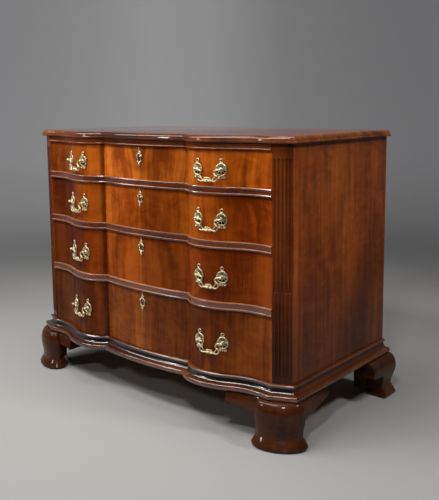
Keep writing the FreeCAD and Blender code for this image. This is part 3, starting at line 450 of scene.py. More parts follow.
def escutcheon():
    """Keyhole plate with its scrollwork, about the keyhole's centre."""
    shape = Shape()
    angles = circle(PLATE_SIDES)
    inner = [keyhole_reach(a) for a in angles]
    outer = [outline_reach(a) for a in angles]
    rows = []
    for share, height, _ in PLATE_ROWS:
        row = []
        for a, r0, r1 in zip(angles, inner, outer):
            reach = r0 + (r1 - r0) * share
            row.append((PLATE_CENTRE[0] + reach * math.cos(a), PLATE_CENTRE[1] + reach * math.sin(a), height))
        rows.append(row)
    shape.rings(rows, [patina_and_shade for _, _, patina_and_shade in PLATE_ROWS], caps=False)
    for side in (-1, 1):
        wide = side if side > 0 else side * LEFT_LEAN
        stem = sided(STEM_HEAD, side) + sided(STEM_SHOULDER, wide) + sided(STEM_FOOT, side)
        tube(shape, smooth_path(stem, STEM_STEPS), STEM_RADII)
        shoulder = scroll((wide * SHOULDER_PLACE[0], SHOULDER_PLACE[1]), SHOULDER_REACH,
                          UPRIGHT + side * SHOULDER_START, -side * SHOULDER_TURN, SCROLL_HEIGHT)
        tube(shape, shoulder, SHOULDER_RADII)
        hip = scroll((side * HIP_PLACE[0], HIP_PLACE[1]), HIP_REACH,
                     UPRIGHT - side * HIP_START, side * HIP_TURN, SCROLL_HEIGHT)
        tube(shape, hip, HIP_RADII)
        bead(shape, sided((SHOULDER_EYE,), wide)[0], SHOULDER_EYE_SIZE)
    ring(shape, HEAD_RING, SCROLL_HEIGHT, HEAD_RING_RADIUS, HEAD_RING_BAR)
    tube(shape, smooth_path(HEAD_STEM, MIDDLE_STEPS), HEAD_STEM_RADII)
    tube(shape, smooth_path(HEAD_BRANCH, STEM_STEPS), HEAD_BRANCH_RADII)
    bead(shape, *HEAD_BEAD)
    tube(shape, smooth_path(TAIL_STEM, MIDDLE_STEPS), TAIL_STEM_RADII)
    tube(shape, scroll(TAIL_PLACE, TAIL_REACH, TAIL_START, TAIL_TURN, SCROLL_HEIGHT), TAIL_RADII)
    bead(shape, *TAIL_BEAD)
    return shape


def frame_matrix(origin, along, outward):
    """Matrix from a plate's own directions (along, up, outward) to the row frame, millimetres to metres."""
    columns = (Vector(along), Vector((0, 0, 1)), Vector(outward), Vector(origin))
    rows = [[column[i] * MM for column in columns] for i in range(3)]
    return Matrix(rows + [[0, 0, 0, 1]])


def seat(x):
    """Seat of a post on the drawer face and the face's outward normal there, in plan."""
    cx, cy, radius = RETURN_ARC if x <= RETURN_ARC[0] else SWELL_ARC
    nx = (x - cx) / radius
    ny = -math.sqrt(1 - nx * nx)
    return (cx + radius * nx, cy + radius * ny), (nx, ny)


def make(name, shape, material, body, *nodes):
    """Mesh object from a shape already in metres, riding on a body in place of its nodes."""
    mesh = bpy.data.meshes.new(name)
    mesh.from_pydata([tuple(p) for p in shape.points], [], shape.faces)
    mesh.validate()
    mesh.update()
    marks = mesh.attributes.new("patina_and_shade", "FLOAT", "POINT")
    marks.data.foreach_set("value", shape.patina_and_shade)
    mesh.polygons.foreach_set("use_smooth", [True] * len(mesh.polygons))
    mesh.set_sharp_from_angle(angle=BRASS_ARRIS_ANGLE)
    mesh.materials.append(material)
    piece = bpy.data.objects.new(name, mesh)
    bpy.context.scene.collection.objects.link(piece)
    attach(piece, body)
    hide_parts(*nodes)


NOISE_ROUGHNESS = 0.55


class Look:
    """A material's nodes around one shader."""

    def __init__(self, name):
        self.material = bpy.data.materials.new(name)
        self.material.use_nodes = True
        self.nodes = self.material.node_tree.nodes
        self.links = self.material.node_tree.links
        self.nodes.clear()
        output = self.nodes.new("ShaderNodeOutputMaterial")
        self.shader = self.nodes.new("ShaderNodeBsdfPrincipled")
        self.links.new(self.shader.outputs["BSDF"], output.inputs["Surface"])

    def fix(self, name, number):
        """Set an input of the shader to one number all over."""
        self.shader.inputs[name].default_value = number

    def feed(self, name, output):
        """Link an output to an input of the shader."""
        self.links.new(output, self.shader.inputs[name])

    def coords(self, kind):
        """Texture coordinates, in the object's own directions."""
        return self.nodes.new("ShaderNodeTexCoord").outputs[kind]

    def split(self, vector):
        """The three parts of a vector."""
        node = self.nodes.new("ShaderNodeSeparateXYZ")
        self.links.new(vector, node.inputs[0])
        return node.outputs["X"], node.outputs["Y"], node.outputs["Z"]

    def joined(self, *parts):
        """Vector from three parts."""
        node = self.nodes.new("ShaderNodeCombineXYZ")
        for socket, part in zip(node.inputs, parts):
            self.links.new(part, socket)
        return node.outputs[0]

    def noise(self, vector, scale, detail, distortion=0.0):
        """Noise on coordinates scaled by a different amount along each axis."""
        mapping = self.nodes.new("ShaderNodeMapping")
        mapping.inputs["Scale"].default_value = scale
        self.links.new(vector, mapping.inputs["Vector"])
        texture = self.nodes.new("ShaderNodeTexNoise")
        texture.inputs["Scale"].default_value = 1.0
        texture.inputs["Detail"].default_value = detail
        texture.inputs["Roughness"].default_value = NOISE_ROUGHNESS
        texture.inputs["Distortion"].default_value = distortion
        self.links.new(mapping.outputs["Vector"], texture.inputs["Vector"])
        return texture.outputs["Fac"]

    def grain(self, vector, axis, layer):
        """Noise drawn out along one axis."""
        across, along, detail, distortion = layer
        scale = [along if letter == axis else across for letter in "XYZ"]
        return self.noise(vector, scale, detail, distortion)

    def calc(self, operation, *values):
        """Math node on numbers and outputs."""
        node = self.nodes.new("ShaderNodeMath")
        node.operation = operation
        for socket, value in zip(node.inputs, values):
            if isinstance(value, (int, float)):
                socket.default_value = value
            else:
                self.links.new(value, socket)
        return node.outputs["Value"]

    def spread(self, value, low, high, to_low=0.0, to_high=1.0):
        """Smooth step from one range to another."""
        node = self.nodes.new("ShaderNodeMapRange")
        node.interpolation_type = "SMOOTHSTEP"
        self.links.new(value, node.inputs["Value"])
        for name, number in zip(("From Min", "From Max", "To Min", "To Max"), (low, high, to_low, to_high)):
            node.inputs[name].default_value = number
        return node.outputs["Result"]

    def ramp(self, value, stops):
        """Colour through stops of place and colour."""
        node = self.nodes.new("ShaderNodeValToRGB")
        elements = node.color_ramp.elements
        while len(elements) < len(stops):
            elements.new(0.5)
        for element, (place, colour) in zip(elements, stops):
            element.position = place
            element.color = (*colour, 1)
        self.links.new(value, node.inputs["Fac"])
        return node.outputs["Color"]

    def vector(self, operation, *inputs):
        """Vector math node, given back whole, with outputs linked to its inputs."""
        node = self.nodes.new("ShaderNodeVectorMath")
        node.operation = operation
        for name, output in inputs:
            self.links.new(output, node.inputs[name])
        return node

    def shifted(self, vector, offset):
        """Vector moved by a fixed offset."""
        node = self.vector("ADD", (0, vector))
        node.inputs[1].default_value = offset
        return node.outputs["Vector"]

    def scaled(self, colour, factor):
        """Colour times a grey factor."""
        return self.vector("SCALE", (0, colour), ("Scale", factor)).outputs["Vector"]

    def times(self, a, b):
        """Product of two colours."""
        return self.vector("MULTIPLY", (0, a), (1, b)).outputs["Vector"]

    def bump(self, name, height, strength, distance):
        """Relief on one of the shader's normals."""
        node = self.nodes.new("ShaderNodeBump")
        node.inputs["Strength"].default_value = strength
        node.inputs["Distance"].default_value = distance
        self.links.new(height, node.inputs["Height"])
        self.feed(name, node.outputs["Normal"])


# Grain of every wood: repeats per metre across and along the grain, detail and distortion
BROAD_LAYER = (5.5, 1.5, 3.0, 0.9)
STREAK_LAYER = (34.0, 1.9, 4.0, 0.7)
LINE_LAYER = (170.0, 6.0, 4.0, 0.3)
MOTTLE_LAYER = (14.0, 26.0, 3.0, 1.4)
PORE_LAYER = (950.0, 26.0, 2.0, 0.0)

# Share of each layer in the grain's tone, and how the pores darken it
BROAD_SHARE = 0.50
STREAK_SHARE = 0.24
LINE_SHARE = 0.12
MOTTLE_SHARE = 0.16
PORE_RANGE = (0.30, 0.46)
PORE_SHADE = 0.70

# Slow drift of a veneer's slant, the dark seam between its middle leaves and the shift from x to its tones
DRIFT_SCALE = (2.2, 2.2, 3.1)
DRIFT_DETAIL = 2.0
SEAM_RANGE = (0.0003, 0.0011)
SEAM_SHADE = 0.45
TONES_SHIFT = 0.5

# Core of a darkened band, and how squarely a face looks sideways or up
BAND_CORE = 0.6
FLANK_RANGE = (0.94, 0.99)
EDGE_RANGE = (0.96, 0.995)

# Uneven gloss, grain relief and the slight waviness of a polish
SMEAR_SCALE = (7.0, 7.0, 7.0)
SMEAR_DETAIL = 3.0
SMEAR_DISTORTION = 0.8
SMEAR_RANGE = (0.3, 0.7)
GLOSS_BELOW = 0.06
GLOSS_ABOVE = 0.08
LINE_RELIEF = 0.6
POLISHED_RELIEF = 0.12
BARE_RELIEF = 0.35
RELIEF_DEPTH = 0.0004
SAG_SCALE = (22.0, 22.0, 22.0)
SAG_DETAIL = 2.0
SAG_STRENGTH = 0.10
SAG_DEPTH = 0.002


def wood(name, axis, stops, offset=(0, 0, 0), coat=0.0, spec=0.05, gloss=0.42, lean=0.0, tone_and_shade=None,
         shade_below=None, shade_and_joint_bands=(), sheen=0.09, edge=None, coat_ior=1.5, figure=(0.36, 0.67), flank_light=None,
         facing_light=None):
    """Polished or bare wood with its grain along one axis. coat, sheen and coat_ior are the polish's weight,
    roughness and index. lean slants a veneer's grain and mirrors it at the middle, tone_and_shade gives a
    veneered front its tone and its painted shade and sheen along x, shade_below paints shade darker towards
    the bottom, shade_and_joint_bands are heights darkened (painted shade in a hollow, and dark joints), edge
    is the polish left on a moulded edge, figure is the range that the grain's colours spread over,
    flank_light paints light on the faces that look along x, and facing_light paints upright faces darker and
    a highlight on the tops of beads."""
    look = Look(name)
    coords = look.coords("Object")
    x, y, z = look.split(coords)
    vector = coords
    if lean:
        drift = look.noise(coords, DRIFT_SCALE, DRIFT_DETAIL)
        slope = look.calc("MULTIPLY_ADD", drift, 2 * lean, -lean)
        mirrored = look.calc("ABSOLUTE", x)
        vector = look.joined(look.calc("MULTIPLY_ADD", z, slope, mirrored), y, z)
    vector = look.shifted(vector, offset)

    broad = look.grain(vector, axis, BROAD_LAYER)
    streak = look.grain(vector, axis, STREAK_LAYER)
    lines = look.grain(vector, axis, LINE_LAYER)
    mottle = look.grain(vector, axis, MOTTLE_LAYER)
    pores = look.grain(vector, axis, PORE_LAYER)

    value = look.calc("MULTIPLY", broad, BROAD_SHARE)
    value = look.calc("MULTIPLY_ADD", streak, STREAK_SHARE, value)
    value = look.calc("MULTIPLY_ADD", lines, LINE_SHARE, value)
    value = look.calc("MULTIPLY_ADD", mottle, MOTTLE_SHARE, value)
    colour = look.ramp(look.spread(value, *figure), stops)
    shade = look.spread(pores, *PORE_RANGE, PORE_SHADE, 1.0)
    # Veneered fronts: tone along x, with painted shade at the left crease and a painted sheen on the left
    # leaf
    if tone_and_shade:
        seam = look.spread(look.calc("ABSOLUTE", x), *SEAM_RANGE, SEAM_SHADE, 1.0)
        shade = look.calc("MULTIPLY", shade, seam)
        colour = look.times(colour, look.ramp(look.calc("ADD", x, TONES_SHIFT), tone_and_shade))
    # Painted shade: darker towards the bottom
    if shade_below:
        low, high, dim = shade_below
        shade = look.calc("MULTIPLY", shade, look.spread(z, low, high, dim, 1.0))
    # Bands: painted shade in a hollow, and dark joins between boards
    for middle, reach, dim in shade_and_joint_bands:
        away = look.calc("ABSOLUTE", look.calc("SUBTRACT", z, middle))
        shade = look.calc("MULTIPLY", shade, look.spread(away, BAND_CORE * reach, reach, dim, 1.0))
    # Painted light: faces that look along x are brightened
    if flank_light is not None:
        sideways = look.calc("ABSOLUTE", look.split(look.coords("Normal"))[0])
        shade = look.calc("MULTIPLY", shade, look.spread(sideways, *FLANK_RANGE, 1.0, flank_light))
    # Painted light: upright faces darker and a painted highlight on upward-facing bead tops
    if facing_light is not None:
        colour = look.times(colour, look.ramp(look.split(look.coords("Normal"))[2], facing_light))
    look.feed("Base Color", look.scaled(colour, shade))

    smear = look.noise(coords, SMEAR_SCALE, SMEAR_DETAIL, SMEAR_DISTORTION)
    look.feed("Roughness", look.spread(smear, *SMEAR_RANGE, gloss - GLOSS_BELOW, gloss + GLOSS_ABOVE))
    look.fix("Specular IOR Level", spec)
    relief = look.calc("MULTIPLY_ADD", lines, LINE_RELIEF, pores)
    look.bump("Normal", relief, POLISHED_RELIEF if coat else BARE_RELIEF, RELIEF_DEPTH)
    if coat:
        look.fix("Coat Weight", coat)
        look.fix("Coat Roughness", sheen)
        look.fix("Coat IOR", coat_ior)
        look.bump("Coat Normal", look.noise(coords, SAG_SCALE, SAG_DETAIL), SAG_STRENGTH, SAG_DEPTH)
    if edge is not None:
        upward = look.split(look.coords("Normal"))[2]
        look.feed("Coat Weight", look.spread(upward, *EDGE_RANGE, edge, coat))
    return look.material


# Brass: colour and roughness by dirt and painted shade, which gather where the patina and shade mark is high,
# and a fine cast relief
BRASS_STOPS = ((0.0, (0.82, 0.72, 0.44)), (0.35, (0.54, 0.51, 0.31)), (0.7, (0.10, 0.095, 0.05)),
               (1.0, (0.022, 0.020, 0.010)))
BRASS_ROUGHNESS = (0.33, 0.65)
DIRT_SCALE = (120.0, 120.0, 120.0)
DIRT_DETAIL = 3.0
DIRT_SHARE = 0.5
DIRT_RANGE = (0.32, 0.98)
CAST_SCALE = (900.0, 900.0, 900.0)
CAST_DETAIL = 2.0
CAST_RELIEF = 0.2
CAST_DEPTH = 0.0003


def brass():
    """Pale worn brass, dark in the recesses with patina and painted shade."""
    look = Look("brass")
    coords = look.coords("Object")
    patina_and_shade = look.nodes.new("ShaderNodeAttribute")
    patina_and_shade.attribute_name = "patina_and_shade"
    cloud = look.noise(coords, DIRT_SCALE, DIRT_DETAIL)
    dirt_and_shade = look.calc("MULTIPLY_ADD", cloud, DIRT_SHARE, patina_and_shade.outputs["Fac"])
    dirt_and_shade = look.spread(dirt_and_shade, *DIRT_RANGE)
    look.feed("Base Color", look.ramp(dirt_and_shade, BRASS_STOPS))
    look.fix("Metallic", 1.0)
    look.feed("Roughness", look.spread(dirt_and_shade, 0.0, 1.0, *BRASS_ROUGHNESS))
    look.bump("Normal", look.noise(coords, CAST_SCALE, CAST_DETAIL), CAST_RELIEF, CAST_DEPTH)
    return look.material


# Lock iron: colour by scratches and clouds in equal shares, roughness by the clouds
STEEL_STOPS = ((0.3, (0.16, 0.15, 0.145)), (0.7, (0.40, 0.39, 0.37)))
STEEL_ROUGHNESS = (0.38, 0.6)
STEEL_SHARE = 0.5
SCRATCH_SCALE = (40.0, 900.0, 900.0)
SCRATCH_DETAIL = 3.0
CLOUD_SCALE = (60.0, 60.0, 60.0)
CLOUD_DETAIL = 4.0
CLOUD_RANGE = (0.3, 0.7)


def steel():
    """Dull, scratched lock iron."""
    look = Look("lock_steel")
    coords = look.coords("Object")
    scratch = look.noise(coords, SCRATCH_SCALE, SCRATCH_DETAIL)
    cloud = look.noise(coords, CLOUD_SCALE, CLOUD_DETAIL)
    tone = look.calc("MULTIPLY_ADD", scratch, STEEL_SHARE, look.calc("MULTIPLY", cloud, STEEL_SHARE))
    look.feed("Base Color", look.ramp(tone, STEEL_STOPS))
    look.fix("Metallic", 1.0)
    look.feed("Roughness", look.spread(cloud, *CLOUD_RANGE, *STEEL_ROUGHNESS))
    return look.material


def dimmed(stops, factor):
    """Colour stops times one factor."""
    return tuple((place, tuple(factor * channel for channel in colour)) for place, colour in stops)


# Wood colours from dark to light grain: place and colour
CASE_STOPS = ((0.0, (0.045, 0.0105, 0.0028)), (0.35, (0.115, 0.026, 0.006)), (0.7, (0.200, 0.050, 0.011)),
              (1.0, (0.300, 0.085, 0.020)))
SIDE_STOPS = ((0.0, (0.120, 0.024, 0.0035)), (0.4, (0.230, 0.050, 0.007)), (0.75, (0.340, 0.079, 0.012)),
              (1.0, (0.460, 0.120, 0.020)))
COLUMN_STOPS = ((0.0, (0.045, 0.0085, 0.0015)), (0.5, (0.110, 0.022, 0.0035)), (1.0, (0.190, 0.044, 0.0075)))
RAIL_STOPS = ((0.0, (0.100, 0.020, 0.004)), (0.5, (0.220, 0.048, 0.009)), (1.0, (0.360, 0.090, 0.017)))
FRONT_STOPS = ((0.0, (0.200, 0.036, 0.0035)), (0.3, (0.330, 0.068, 0.0070)), (0.65, (0.470, 0.112, 0.0130)),
               (1.0, (0.620, 0.168, 0.024)))
OAK_STOPS = ((0.0, (0.20, 0.120, 0.055)), (0.5, (0.32, 0.205, 0.100)), (1.0, (0.44, 0.300, 0.160)))
PINE_STOPS = ((0.0, (0.24, 0.125, 0.050)), (0.5, (0.38, 0.215, 0.095)), (1.0, (0.50, 0.305, 0.145)))

# Darker forms of the same woods: the feet darker partly by painted shade, the foot blocks by dirt and painted
# shade
BASE_DIM = 0.62
FOOT_TONE_AND_SHADE = 0.30
BLOCK_DIRT_AND_SHADE = 0.16
BASE_STOPS = dimmed(CASE_STOPS, BASE_DIM)
FOOT_STOPS = dimmed(CASE_STOPS, FOOT_TONE_AND_SHADE)
BLOCK_STOPS = dimmed(PINE_STOPS, BLOCK_DIRT_AND_SHADE)

# Veneer tone and painted light along a drawer front, from x -0.5 to 0.5: place, tone and redness. The left
# bow is dark and red, with painted shade in a darker band at its crease. The leaf left of the seam is golden
# with a painted sheen, and the right bow is redder again.
VENEER_TONE_AND_SHADE = (
    (0.000, 0.37, 0.6), (0.080, 0.43, 0.7), (0.160, 0.52, 0.8), (0.240, 0.72, 0.7), (0.281, 0.84, 0.7),
    (0.300, 0.84, 0.6), (0.307, 0.32, 0.2), (0.314, 0.28, 0.2), (0.317, 1.02, 0.0), (0.327, 1.20, 0.0),
    (0.380, 1.09, 0.0), (0.440, 1.22, 0.0), (0.499, 1.13, 0.0), (0.501, 0.75, 0.0), (0.600, 0.70, 0.1),
    (0.680, 0.70, 0.2), (0.740, 0.90, 0.4), (0.830, 0.76, 0.7), (0.920, 0.80, 0.7), (1.000, 0.82, 0.7),
)
RED_GREEN = 0.20
RED_BLUE = 0.55
# Each drawer's tint: partly its own tone, partly painted shade that darkens the lower drawers
DRAWER_TINT_AND_SHADE = {1: (1.09, 1.10, 0.90), 2: (0.82, 0.74, 0.52), 3: (0.57, 0.46, 0.27), 4: (0.54, 0.57, 0.66)}


def tinted(tone_and_shade, tint):
    """Colour stops from the tones and their redness, under one drawer's tint; both carry painted shade as
    well as the veneer's own tone.
    """
    stops = []
    for place, tone, red in tone_and_shade:
        hue = (1.0, 1.0 - RED_GREEN * red, 1.0 - RED_BLUE * red)
        stops.append((place, tuple(tone * channel * part for channel, part in zip(tint, hue))))
    return tuple(stops)


# Polish: weights of the coat, its roughness on beads and feet, and its index where it shines most
FULL_POLISH = 1.0
BASE_SIDE_POLISH = 0.80
FOOT_POLISH = 0.42
CASE_POLISH = 0.35
EDGE_POLISH = 0.35
VENEER_POLISH = 0.20
BEAD_SHEEN = 0.16
FOOT_SHEEN = 0.11
RAIL_COAT_IOR = 2.0
BASE_COAT_IOR = 1.9
TOP_COAT_IOR = 1.8

# Bare woods: specular level and roughness
BARE_SPEC = 0.4
BLOCK_SPEC = 0.3
OAK_GLOSS = 0.62
PINE_GLOSS = 0.66

# Veneer: specular level, slant and figure, and the step from one drawer's grain to the next
VENEER_SPEC = 0.03
VENEER_LEAN = 0.09
VENEER_FIGURE = (0.40, 0.63)
VENEER_STEP_X = 0.37
VENEER_STEP_Z = 0.83

# Painted shade by height: the side panels and columns darken towards the bottom, given as low, high and
# shade; bands, given as middle, half height and shade, paint shade in the base moulding's hollow and darken
# the joins between the back boards
SIDE_SHADE_BELOW = (0.15, 0.60, 0.45)
COLUMN_SHADE_BELOW = (0.20, 0.55, 0.38)
# Painted shade in the base moulding's hollow, where the cove shows dark
BASE_HOLLOW_SHADE = ((0.1575, 0.0095, 0.22),)
BASE_SIDE_HOLLOW_SHADE = ((0.1575, 0.0095, 0.60),)
BACK_BOARDS = 3
JOIN_HALF = 0.0016
JOIN_SHADE = 0.25

# Painted light by direction: the columns' outer sides are painted lighter, and the rails' upright fronts
# painted darker with a painted highlight on the bead tops
COLUMN_FLANK_LIGHT = 2.6
RAIL_FACING_LIGHT = ((0.15, (0.62, 0.52, 0.52)), (0.75, (1.70, 3.20, 7.00)))

# Each wood has its own offset into the grain
base_front_wood = wood("case_mahogany_x", "X", BASE_STOPS, coat=FULL_POLISH, shade_and_joint_bands=BASE_HOLLOW_SHADE,
                       sheen=BEAD_SHEEN, coat_ior=BASE_COAT_IOR)
base_side_wood = wood("case_mahogany_y", "Y", BASE_STOPS, offset=(0.31, 0.0, 0.17), coat=BASE_SIDE_POLISH,
                      shade_and_joint_bands=BASE_SIDE_HOLLOW_SHADE)
rail_wood = wood("case_mahogany_rail", "X", RAIL_STOPS, offset=(0.9, 0.2, 0.0), coat=FULL_POLISH,
                 sheen=BEAD_SHEEN, coat_ior=RAIL_COAT_IOR, facing_light=RAIL_FACING_LIGHT)
top_rail_wood = wood("case_mahogany_top_rail", "X", RAIL_STOPS, offset=(0.4, 0.2, 0.0), coat=CASE_POLISH,
                     sheen=BEAD_SHEEN)
top_wood = wood("case_mahogany_top", "X", CASE_STOPS, offset=(0.0, 0.63, 0.0), coat=FULL_POLISH,
                edge=EDGE_POLISH, coat_ior=TOP_COAT_IOR)
side_wood = wood("case_mahogany_side", "Z", SIDE_STOPS, offset=(0.0, 0.21, 0.4), coat=CASE_POLISH,
                 shade_below=SIDE_SHADE_BELOW)
column_wood = wood("case_mahogany_column", "Z", COLUMN_STOPS, offset=(0.7, 0.0, 0.0), coat=CASE_POLISH,
                   shade_below=COLUMN_SHADE_BELOW, flank_light=COLUMN_FLANK_LIGHT)
foot_wood = wood("case_mahogany_foot", "X", FOOT_STOPS, offset=(0.0, 0.0, 1.3), coat=FOOT_POLISH,
                 sheen=FOOT_SHEEN)
oak_x = wood("drawer_oak_x", "X", OAK_STOPS, spec=BARE_SPEC, gloss=OAK_GLOSS)
oak_y = wood("drawer_oak_y", "Y", OAK_STOPS, offset=(0.4, 0.0, 0.2), spec=BARE_SPEC, gloss=OAK_GLOSS)
pine_x = wood("carcass_pine_x", "X", PINE_STOPS, offset=(0.0, 0.5, 0.9), spec=BARE_SPEC, gloss=PINE_GLOSS)
pine_y = wood("carcass_pine_y", "Y", PINE_STOPS, offset=(0.8, 0.0, 0.1), spec=BARE_SPEC, gloss=PINE_GLOSS)
back_low, back_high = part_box("back_boards")
board_joins = [back_low.z + (back_high.z - back_low.z) * i / BACK_BOARDS for i in range(1, BACK_BOARDS)]
pine_back = wood("carcass_pine_back", "X", PINE_STOPS, offset=(0.3, 0.5, 0.4), spec=BARE_SPEC,
                 gloss=PINE_GLOSS, shade_and_joint_bands=[(z, JOIN_HALF, JOIN_SHADE) for z in board_joins])
block_wood = wood("carcass_pine_block", "Z", BLOCK_STOPS, offset=(0.5, 0.2, 0.0), spec=BLOCK_SPEC,
                  gloss=PINE_GLOSS)
brass_metal = brass()
lock_metal = steel()

# Materials of the CAD nodes that stay
NODE_MATERIALS = {
    "top_board": top_wood,
    "top_rail": top_rail_wood,
    "bottom_rail": base_front_wood,
    "bottom_board": pine_x,
    "back_boards": pine_back,
    "drawer_runners": pine_y,
    "foot_blocks": block_wood,
    "base_moulding_front": base_front_wood,
    "base_moulding_sides": base_side_wood,
}
for side in ("left", "right"):
    NODE_MATERIALS["corner_column_" + side] = column_wood
    NODE_MATERIALS["side_panel_" + side] = side_wood
    NODE_MATERIALS["front_foot_" + side] = foot_wood
    NODE_MATERIALS["rear_foot_" + side] = foot_wood
for n in DRAWERS[:-1]:
    NODE_MATERIALS["drawer_rail_%d" % n] = rail_wood
for n in DRAWERS:
    drawer = "drawer_%d_" % n
    NODE_MATERIALS[drawer + "front"] = wood(
        "drawer_mahogany_%d" % n, "Z", FRONT_STOPS, offset=(VENEER_STEP_X * n, 0.0, VENEER_STEP_Z * n),
        coat=VENEER_POLISH, spec=VENEER_SPEC, lean=VENEER_LEAN, figure=VENEER_FIGURE,
        tone_and_shade=tinted(VENEER_TONE_AND_SHADE, DRAWER_TINT_AND_SHADE[n]))
    NODE_MATERIALS[drawer + "side_left"] = oak_y
    NODE_MATERIALS[drawer + "side_right"] = oak_y
    NODE_MATERIALS[drawer + "back"] = oak_x
    NODE_MATERIALS[drawer + "bottom"] = oak_x
    NODE_MATERIALS[drawer + "lock"] = lock_metal


def soften(node):
    """Smooth the facets of rounds and hollows, keeping arrises sharp. The mesh keeps its points."""
    mesh = node.data
    if "custom_normal" in mesh.attributes:
        mesh.attributes.remove(mesh.attributes["custom_normal"])
    keys = [tuple(round(c, POINT_DIGITS) for c in vertex.co) for vertex in mesh.vertices]
    sides = {}
    for polygon in mesh.polygons:
        for a, b in polygon.edge_keys:
            sides.setdefault(frozenset((keys[a], keys[b])), []).append(polygon.normal.copy())
    sharp = []
    for edge in mesh.edges:
        normals = sides.get(frozenset(keys[v] for v in edge.vertices), [])
        sharp.append(len(normals) != 2 or normals[0].angle(normals[1], 0.0) > ARRIS_ANGLE)
    mesh.edges.foreach_set("use_edge_sharp", sharp)
    mesh.polygons.foreach_set("use_smooth", [True] * len(mesh.polygons))
    weld = node.modifiers.new("weld", "WELD")
    weld.merge_threshold = WELD_DISTANCE


for name, material in NODE_MATERIALS.items():
    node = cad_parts[name]
    node.data.materials.clear()
    node.data.materials.append(material)
    soften(node)

# Handles and escutcheons: each drawer carries the same brass, mirrored from its right half to its left
MIRROR = Matrix.Diagonal((-1, 1, 1, 1))
ROSE = rose()
POST = post()
PLATE = escutcheon()
SEATS = [seat(x) for x in POST_X]
knobs = [Vector((place[0] + KNOB_STAND * normal[0], place[1] + KNOB_STAND * normal[1], 0))
         for place, normal in SEATS]
ALONG = (knobs[1] - knobs[0]).normalized()
MIDDLE = (knobs[0] + knobs[1]) / 2
BAIL = bail((knobs[1] - knobs[0]).length)
for n in DRAWERS:
    drawer = "drawer_%d" % n
    handle_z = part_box(drawer + "_bail_right")[1].z / MM - BAIL_ROD
    key_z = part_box(drawer + "_escutcheon")[1].z / MM - PLATE_TOP
    mounts = Shape()
    for place, normal in SEATS:
        matrix = frame_matrix((*place, handle_z), (-normal[1], normal[0], 0), (*normal, 0))
        for part in (ROSE, POST):
            mounts.add(part, matrix)
            mounts.add(part, MIRROR @ matrix, True)
    make(drawer + "_mounts_detail", mounts, brass_metal, drawer, drawer + "_handle_mounts")
    matrix = frame_matrix((MIDDLE.x, MIDDLE.y, handle_z), ALONG, (ALONG.y, -ALONG.x, 0))
    for side, turned in (("right", False), ("left", True)):
        swing = Shape()
        swing.add(BAIL, MIRROR @ matrix if turned else matrix, turned)
        body = "%s_bail_%s" % (drawer, side)
        make(body + "_detail", swing, brass_metal, body, body)
    plate = Shape()
    plate.add(PLATE, frame_matrix((0, PLATE_FACE_Y, key_z), (1, 0, 0), (0, -1, 0)))
    make(drawer + "_escutcheon_detail", plate, brass_metal, drawer, drawer + "_escutcheon")

# Floor and backdrop: one bowl, pale below and greyer up its wall
FLOOR_RINGS = (0.6, 1.2, 2.4)
FLOOR_RADIUS = 3.6
COVE = 2.2
COVE_STEPS = 14
WALL_TOP = 5.5
BOWL_SIDES = 72

# Paper: its colour, darker by distance from the middle as painted shade, and its gloss
PAPER_SHADE_RANGE = (0.5, 3.0)
PAPER_COLOUR_AND_SHADE = ((0.0, (0.375, 0.366, 0.352)), (1.0, (0.15, 0.15, 0.152)))
PAPER_ROUGHNESS = 0.85
PAPER_SPEC = 0.1

# Glow of the wall: its direction in plan, its tones along that, and where it rises, starts and is mirrored
WALL_X = 0.759
WALL_Y = 0.651
WALL_REACH = (-2.5, 2.5)
WALL_GLOW = ((0.0, (0.175, 0.175, 0.180)), (0.30, (0.245, 0.244, 0.246)), (0.5, (0.225, 0.224, 0.227)),
             (0.72, (0.150, 0.150, 0.153)), (1.0, (0.112, 0.112, 0.116)))
GLOW_RISE = (-1.0, 0.6)
GLOW_START = (1.6, 4.2)
GLOW_MIRRORED = (-1.0, 1.5)


def studio_paper():
    """Pale paper, darker far out as painted shade, whose far wall has a grey glow of its own, for the camera
    and for reflections.
    """
    look = Look("studio_paper")
    coords = look.coords("Object")
    x, y, z = look.split(coords)
    away = look.vector("LENGTH", (0, coords)).outputs["Value"]
    look.feed("Base Color", look.ramp(look.spread(away, *PAPER_SHADE_RANGE), PAPER_COLOUR_AND_SHADE))
    look.fix("Roughness", PAPER_ROUGHNESS)
    look.fix("Specular IOR Level", PAPER_SPEC)
    across = look.calc("MULTIPLY_ADD", y, WALL_Y, look.calc("MULTIPLY", x, WALL_X))
    behind = look.calc("MULTIPLY_ADD", y, WALL_X, look.calc("MULTIPLY", x, -WALL_Y))
    glow = look.ramp(look.spread(across, *WALL_REACH), WALL_GLOW)
    rise = look.calc("MULTIPLY", look.spread(z, *GLOW_RISE), look.spread(away, *GLOW_START))
    path = look.nodes.new("ShaderNodeLightPath")
    seen = look.calc("MULTIPLY_ADD", path.outputs["Is Glossy Ray"], look.spread(behind, *GLOW_MIRRORED),
                     path.outputs["Is Camera Ray"])
    look.feed("Emission Color", look.scaled(glow, rise))
    look.feed("Emission Strength", seen)
    return look.material


def bowl():
    """Round floor that curves up into a wall."""
    profile = [(radius, 0.0) for radius in (*FLOOR_RINGS, FLOOR_RADIUS)]
    for i in range(1, COVE_STEPS + 1):
        t = math.pi / 2 * i / COVE_STEPS
        profile.append((FLOOR_RADIUS + COVE * math.sin(t), COVE * (1 - math.cos(t))))
    profile.append((FLOOR_RADIUS + COVE, WALL_TOP))
    points = [(r * math.cos(a), r * math.sin(a), z) for r, z in profile for a in circle(BOWL_SIDES)]
    faces = [tuple(range(BOWL_SIDES))]
    for i in range(len(profile) - 1):
        low = i * BOWL_SIDES
        high = low + BOWL_SIDES
        for k in range(BOWL_SIDES):
            j = (k + 1) % BOWL_SIDES
            faces.append((low + k, high + k, high + j, low + j))
    mesh = bpy.data.meshes.new("studio_floor")
    mesh.from_pydata(points, [], faces)
    mesh.polygons.foreach_set("use_smooth", [True] * len(mesh.polygons))
    mesh.materials.append(studio_paper())
    floor = bpy.data.objects.new("studio_floor", mesh)
    bpy.context.scene.collection.objects.link(floor)


bowl()

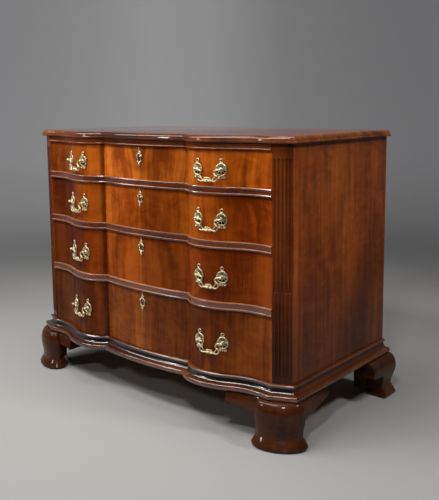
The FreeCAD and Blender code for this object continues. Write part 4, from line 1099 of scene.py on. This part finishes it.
# Light: a dim even world and softboxes, each with its place, target, width, height and power
WORLD_COLOUR = (0.30, 0.30, 0.31, 1)
WORLD_STRENGTH = 0.22
SOFTBOXES = (
    ("key_softbox", (-1.20, -1.30, 2.30), (-1.2, -0.2, 0.6), 3.4, 0.35, 60),
    ("left_softbox", (-1.30, -2.30, 1.60), (0.0, -0.25, 0.55), 0.22, 0.22, 10),
    ("fill_softbox", (1.35, -1.75, 2.2), (0.2, -0.2, 0.7), 0.28, 0.28, 20),
    ("side_softbox", (1.9, 0.25, 2.1), (0.5, 0.0, 0.8), 0.28, 0.28, 17),
    ("top_softbox", (-0.1, -0.3, 2.9), (0.0, -0.1, 0.5), 1.4, 1.1, 26),
)
world = bpy.data.worlds.new("studio")
bpy.context.scene.world = world
world.use_nodes = True
world.node_tree.nodes["Background"].inputs["Color"].default_value = WORLD_COLOUR
world.node_tree.nodes["Background"].inputs["Strength"].default_value = WORLD_STRENGTH


def softbox(name, place, target, width, height, power):
    """Rectangular lamp that faces its target."""
    lamp = bpy.data.lights.new(name, "AREA")
    lamp.shape = "RECTANGLE"
    lamp.size = width
    lamp.size_y = height
    lamp.energy = power
    box = bpy.data.objects.new(name, lamp)
    box.location = place
    box.rotation_euler = (Vector(target) - Vector(place)).to_track_quat("-Z", "Y").to_euler()
    bpy.context.scene.collection.objects.link(box)


for settings in SOFTBOXES:
    softbox(*settings)

# Camera at the photograph's place, with the photograph's vertical shift
CAMERA_PLACE = (1.6086, -1.7569, 0.9394)
CAMERA_RIGHT = (0.759078, 0.650934, -0.009232)
CAMERA_UP = (-0.078974, 0.106153, 0.991209)
FOCAL_PIXELS = 711.5
LONG_SIDE = 500
SENSOR = 36.0
AXIS_ROW = 200
camera = bpy.data.cameras.new("camera")
camera.sensor_width = SENSOR
camera.lens = FOCAL_PIXELS * SENSOR / LONG_SIDE
camera.shift_y = (AXIS_ROW - LONG_SIDE / 2) / LONG_SIDE
viewer = bpy.data.objects.new("camera", camera)
right = Vector(CAMERA_RIGHT)
up = Vector(CAMERA_UP)
turn = Matrix((right, up, right.cross(up))).transposed()
viewer.matrix_world = Matrix.Translation(CAMERA_PLACE) @ turn.to_4x4()
bpy.context.scene.collection.objects.link(viewer)
bpy.context.scene.camera = viewer
bpy.context.scene.view_settings.view_transform = "Standard"
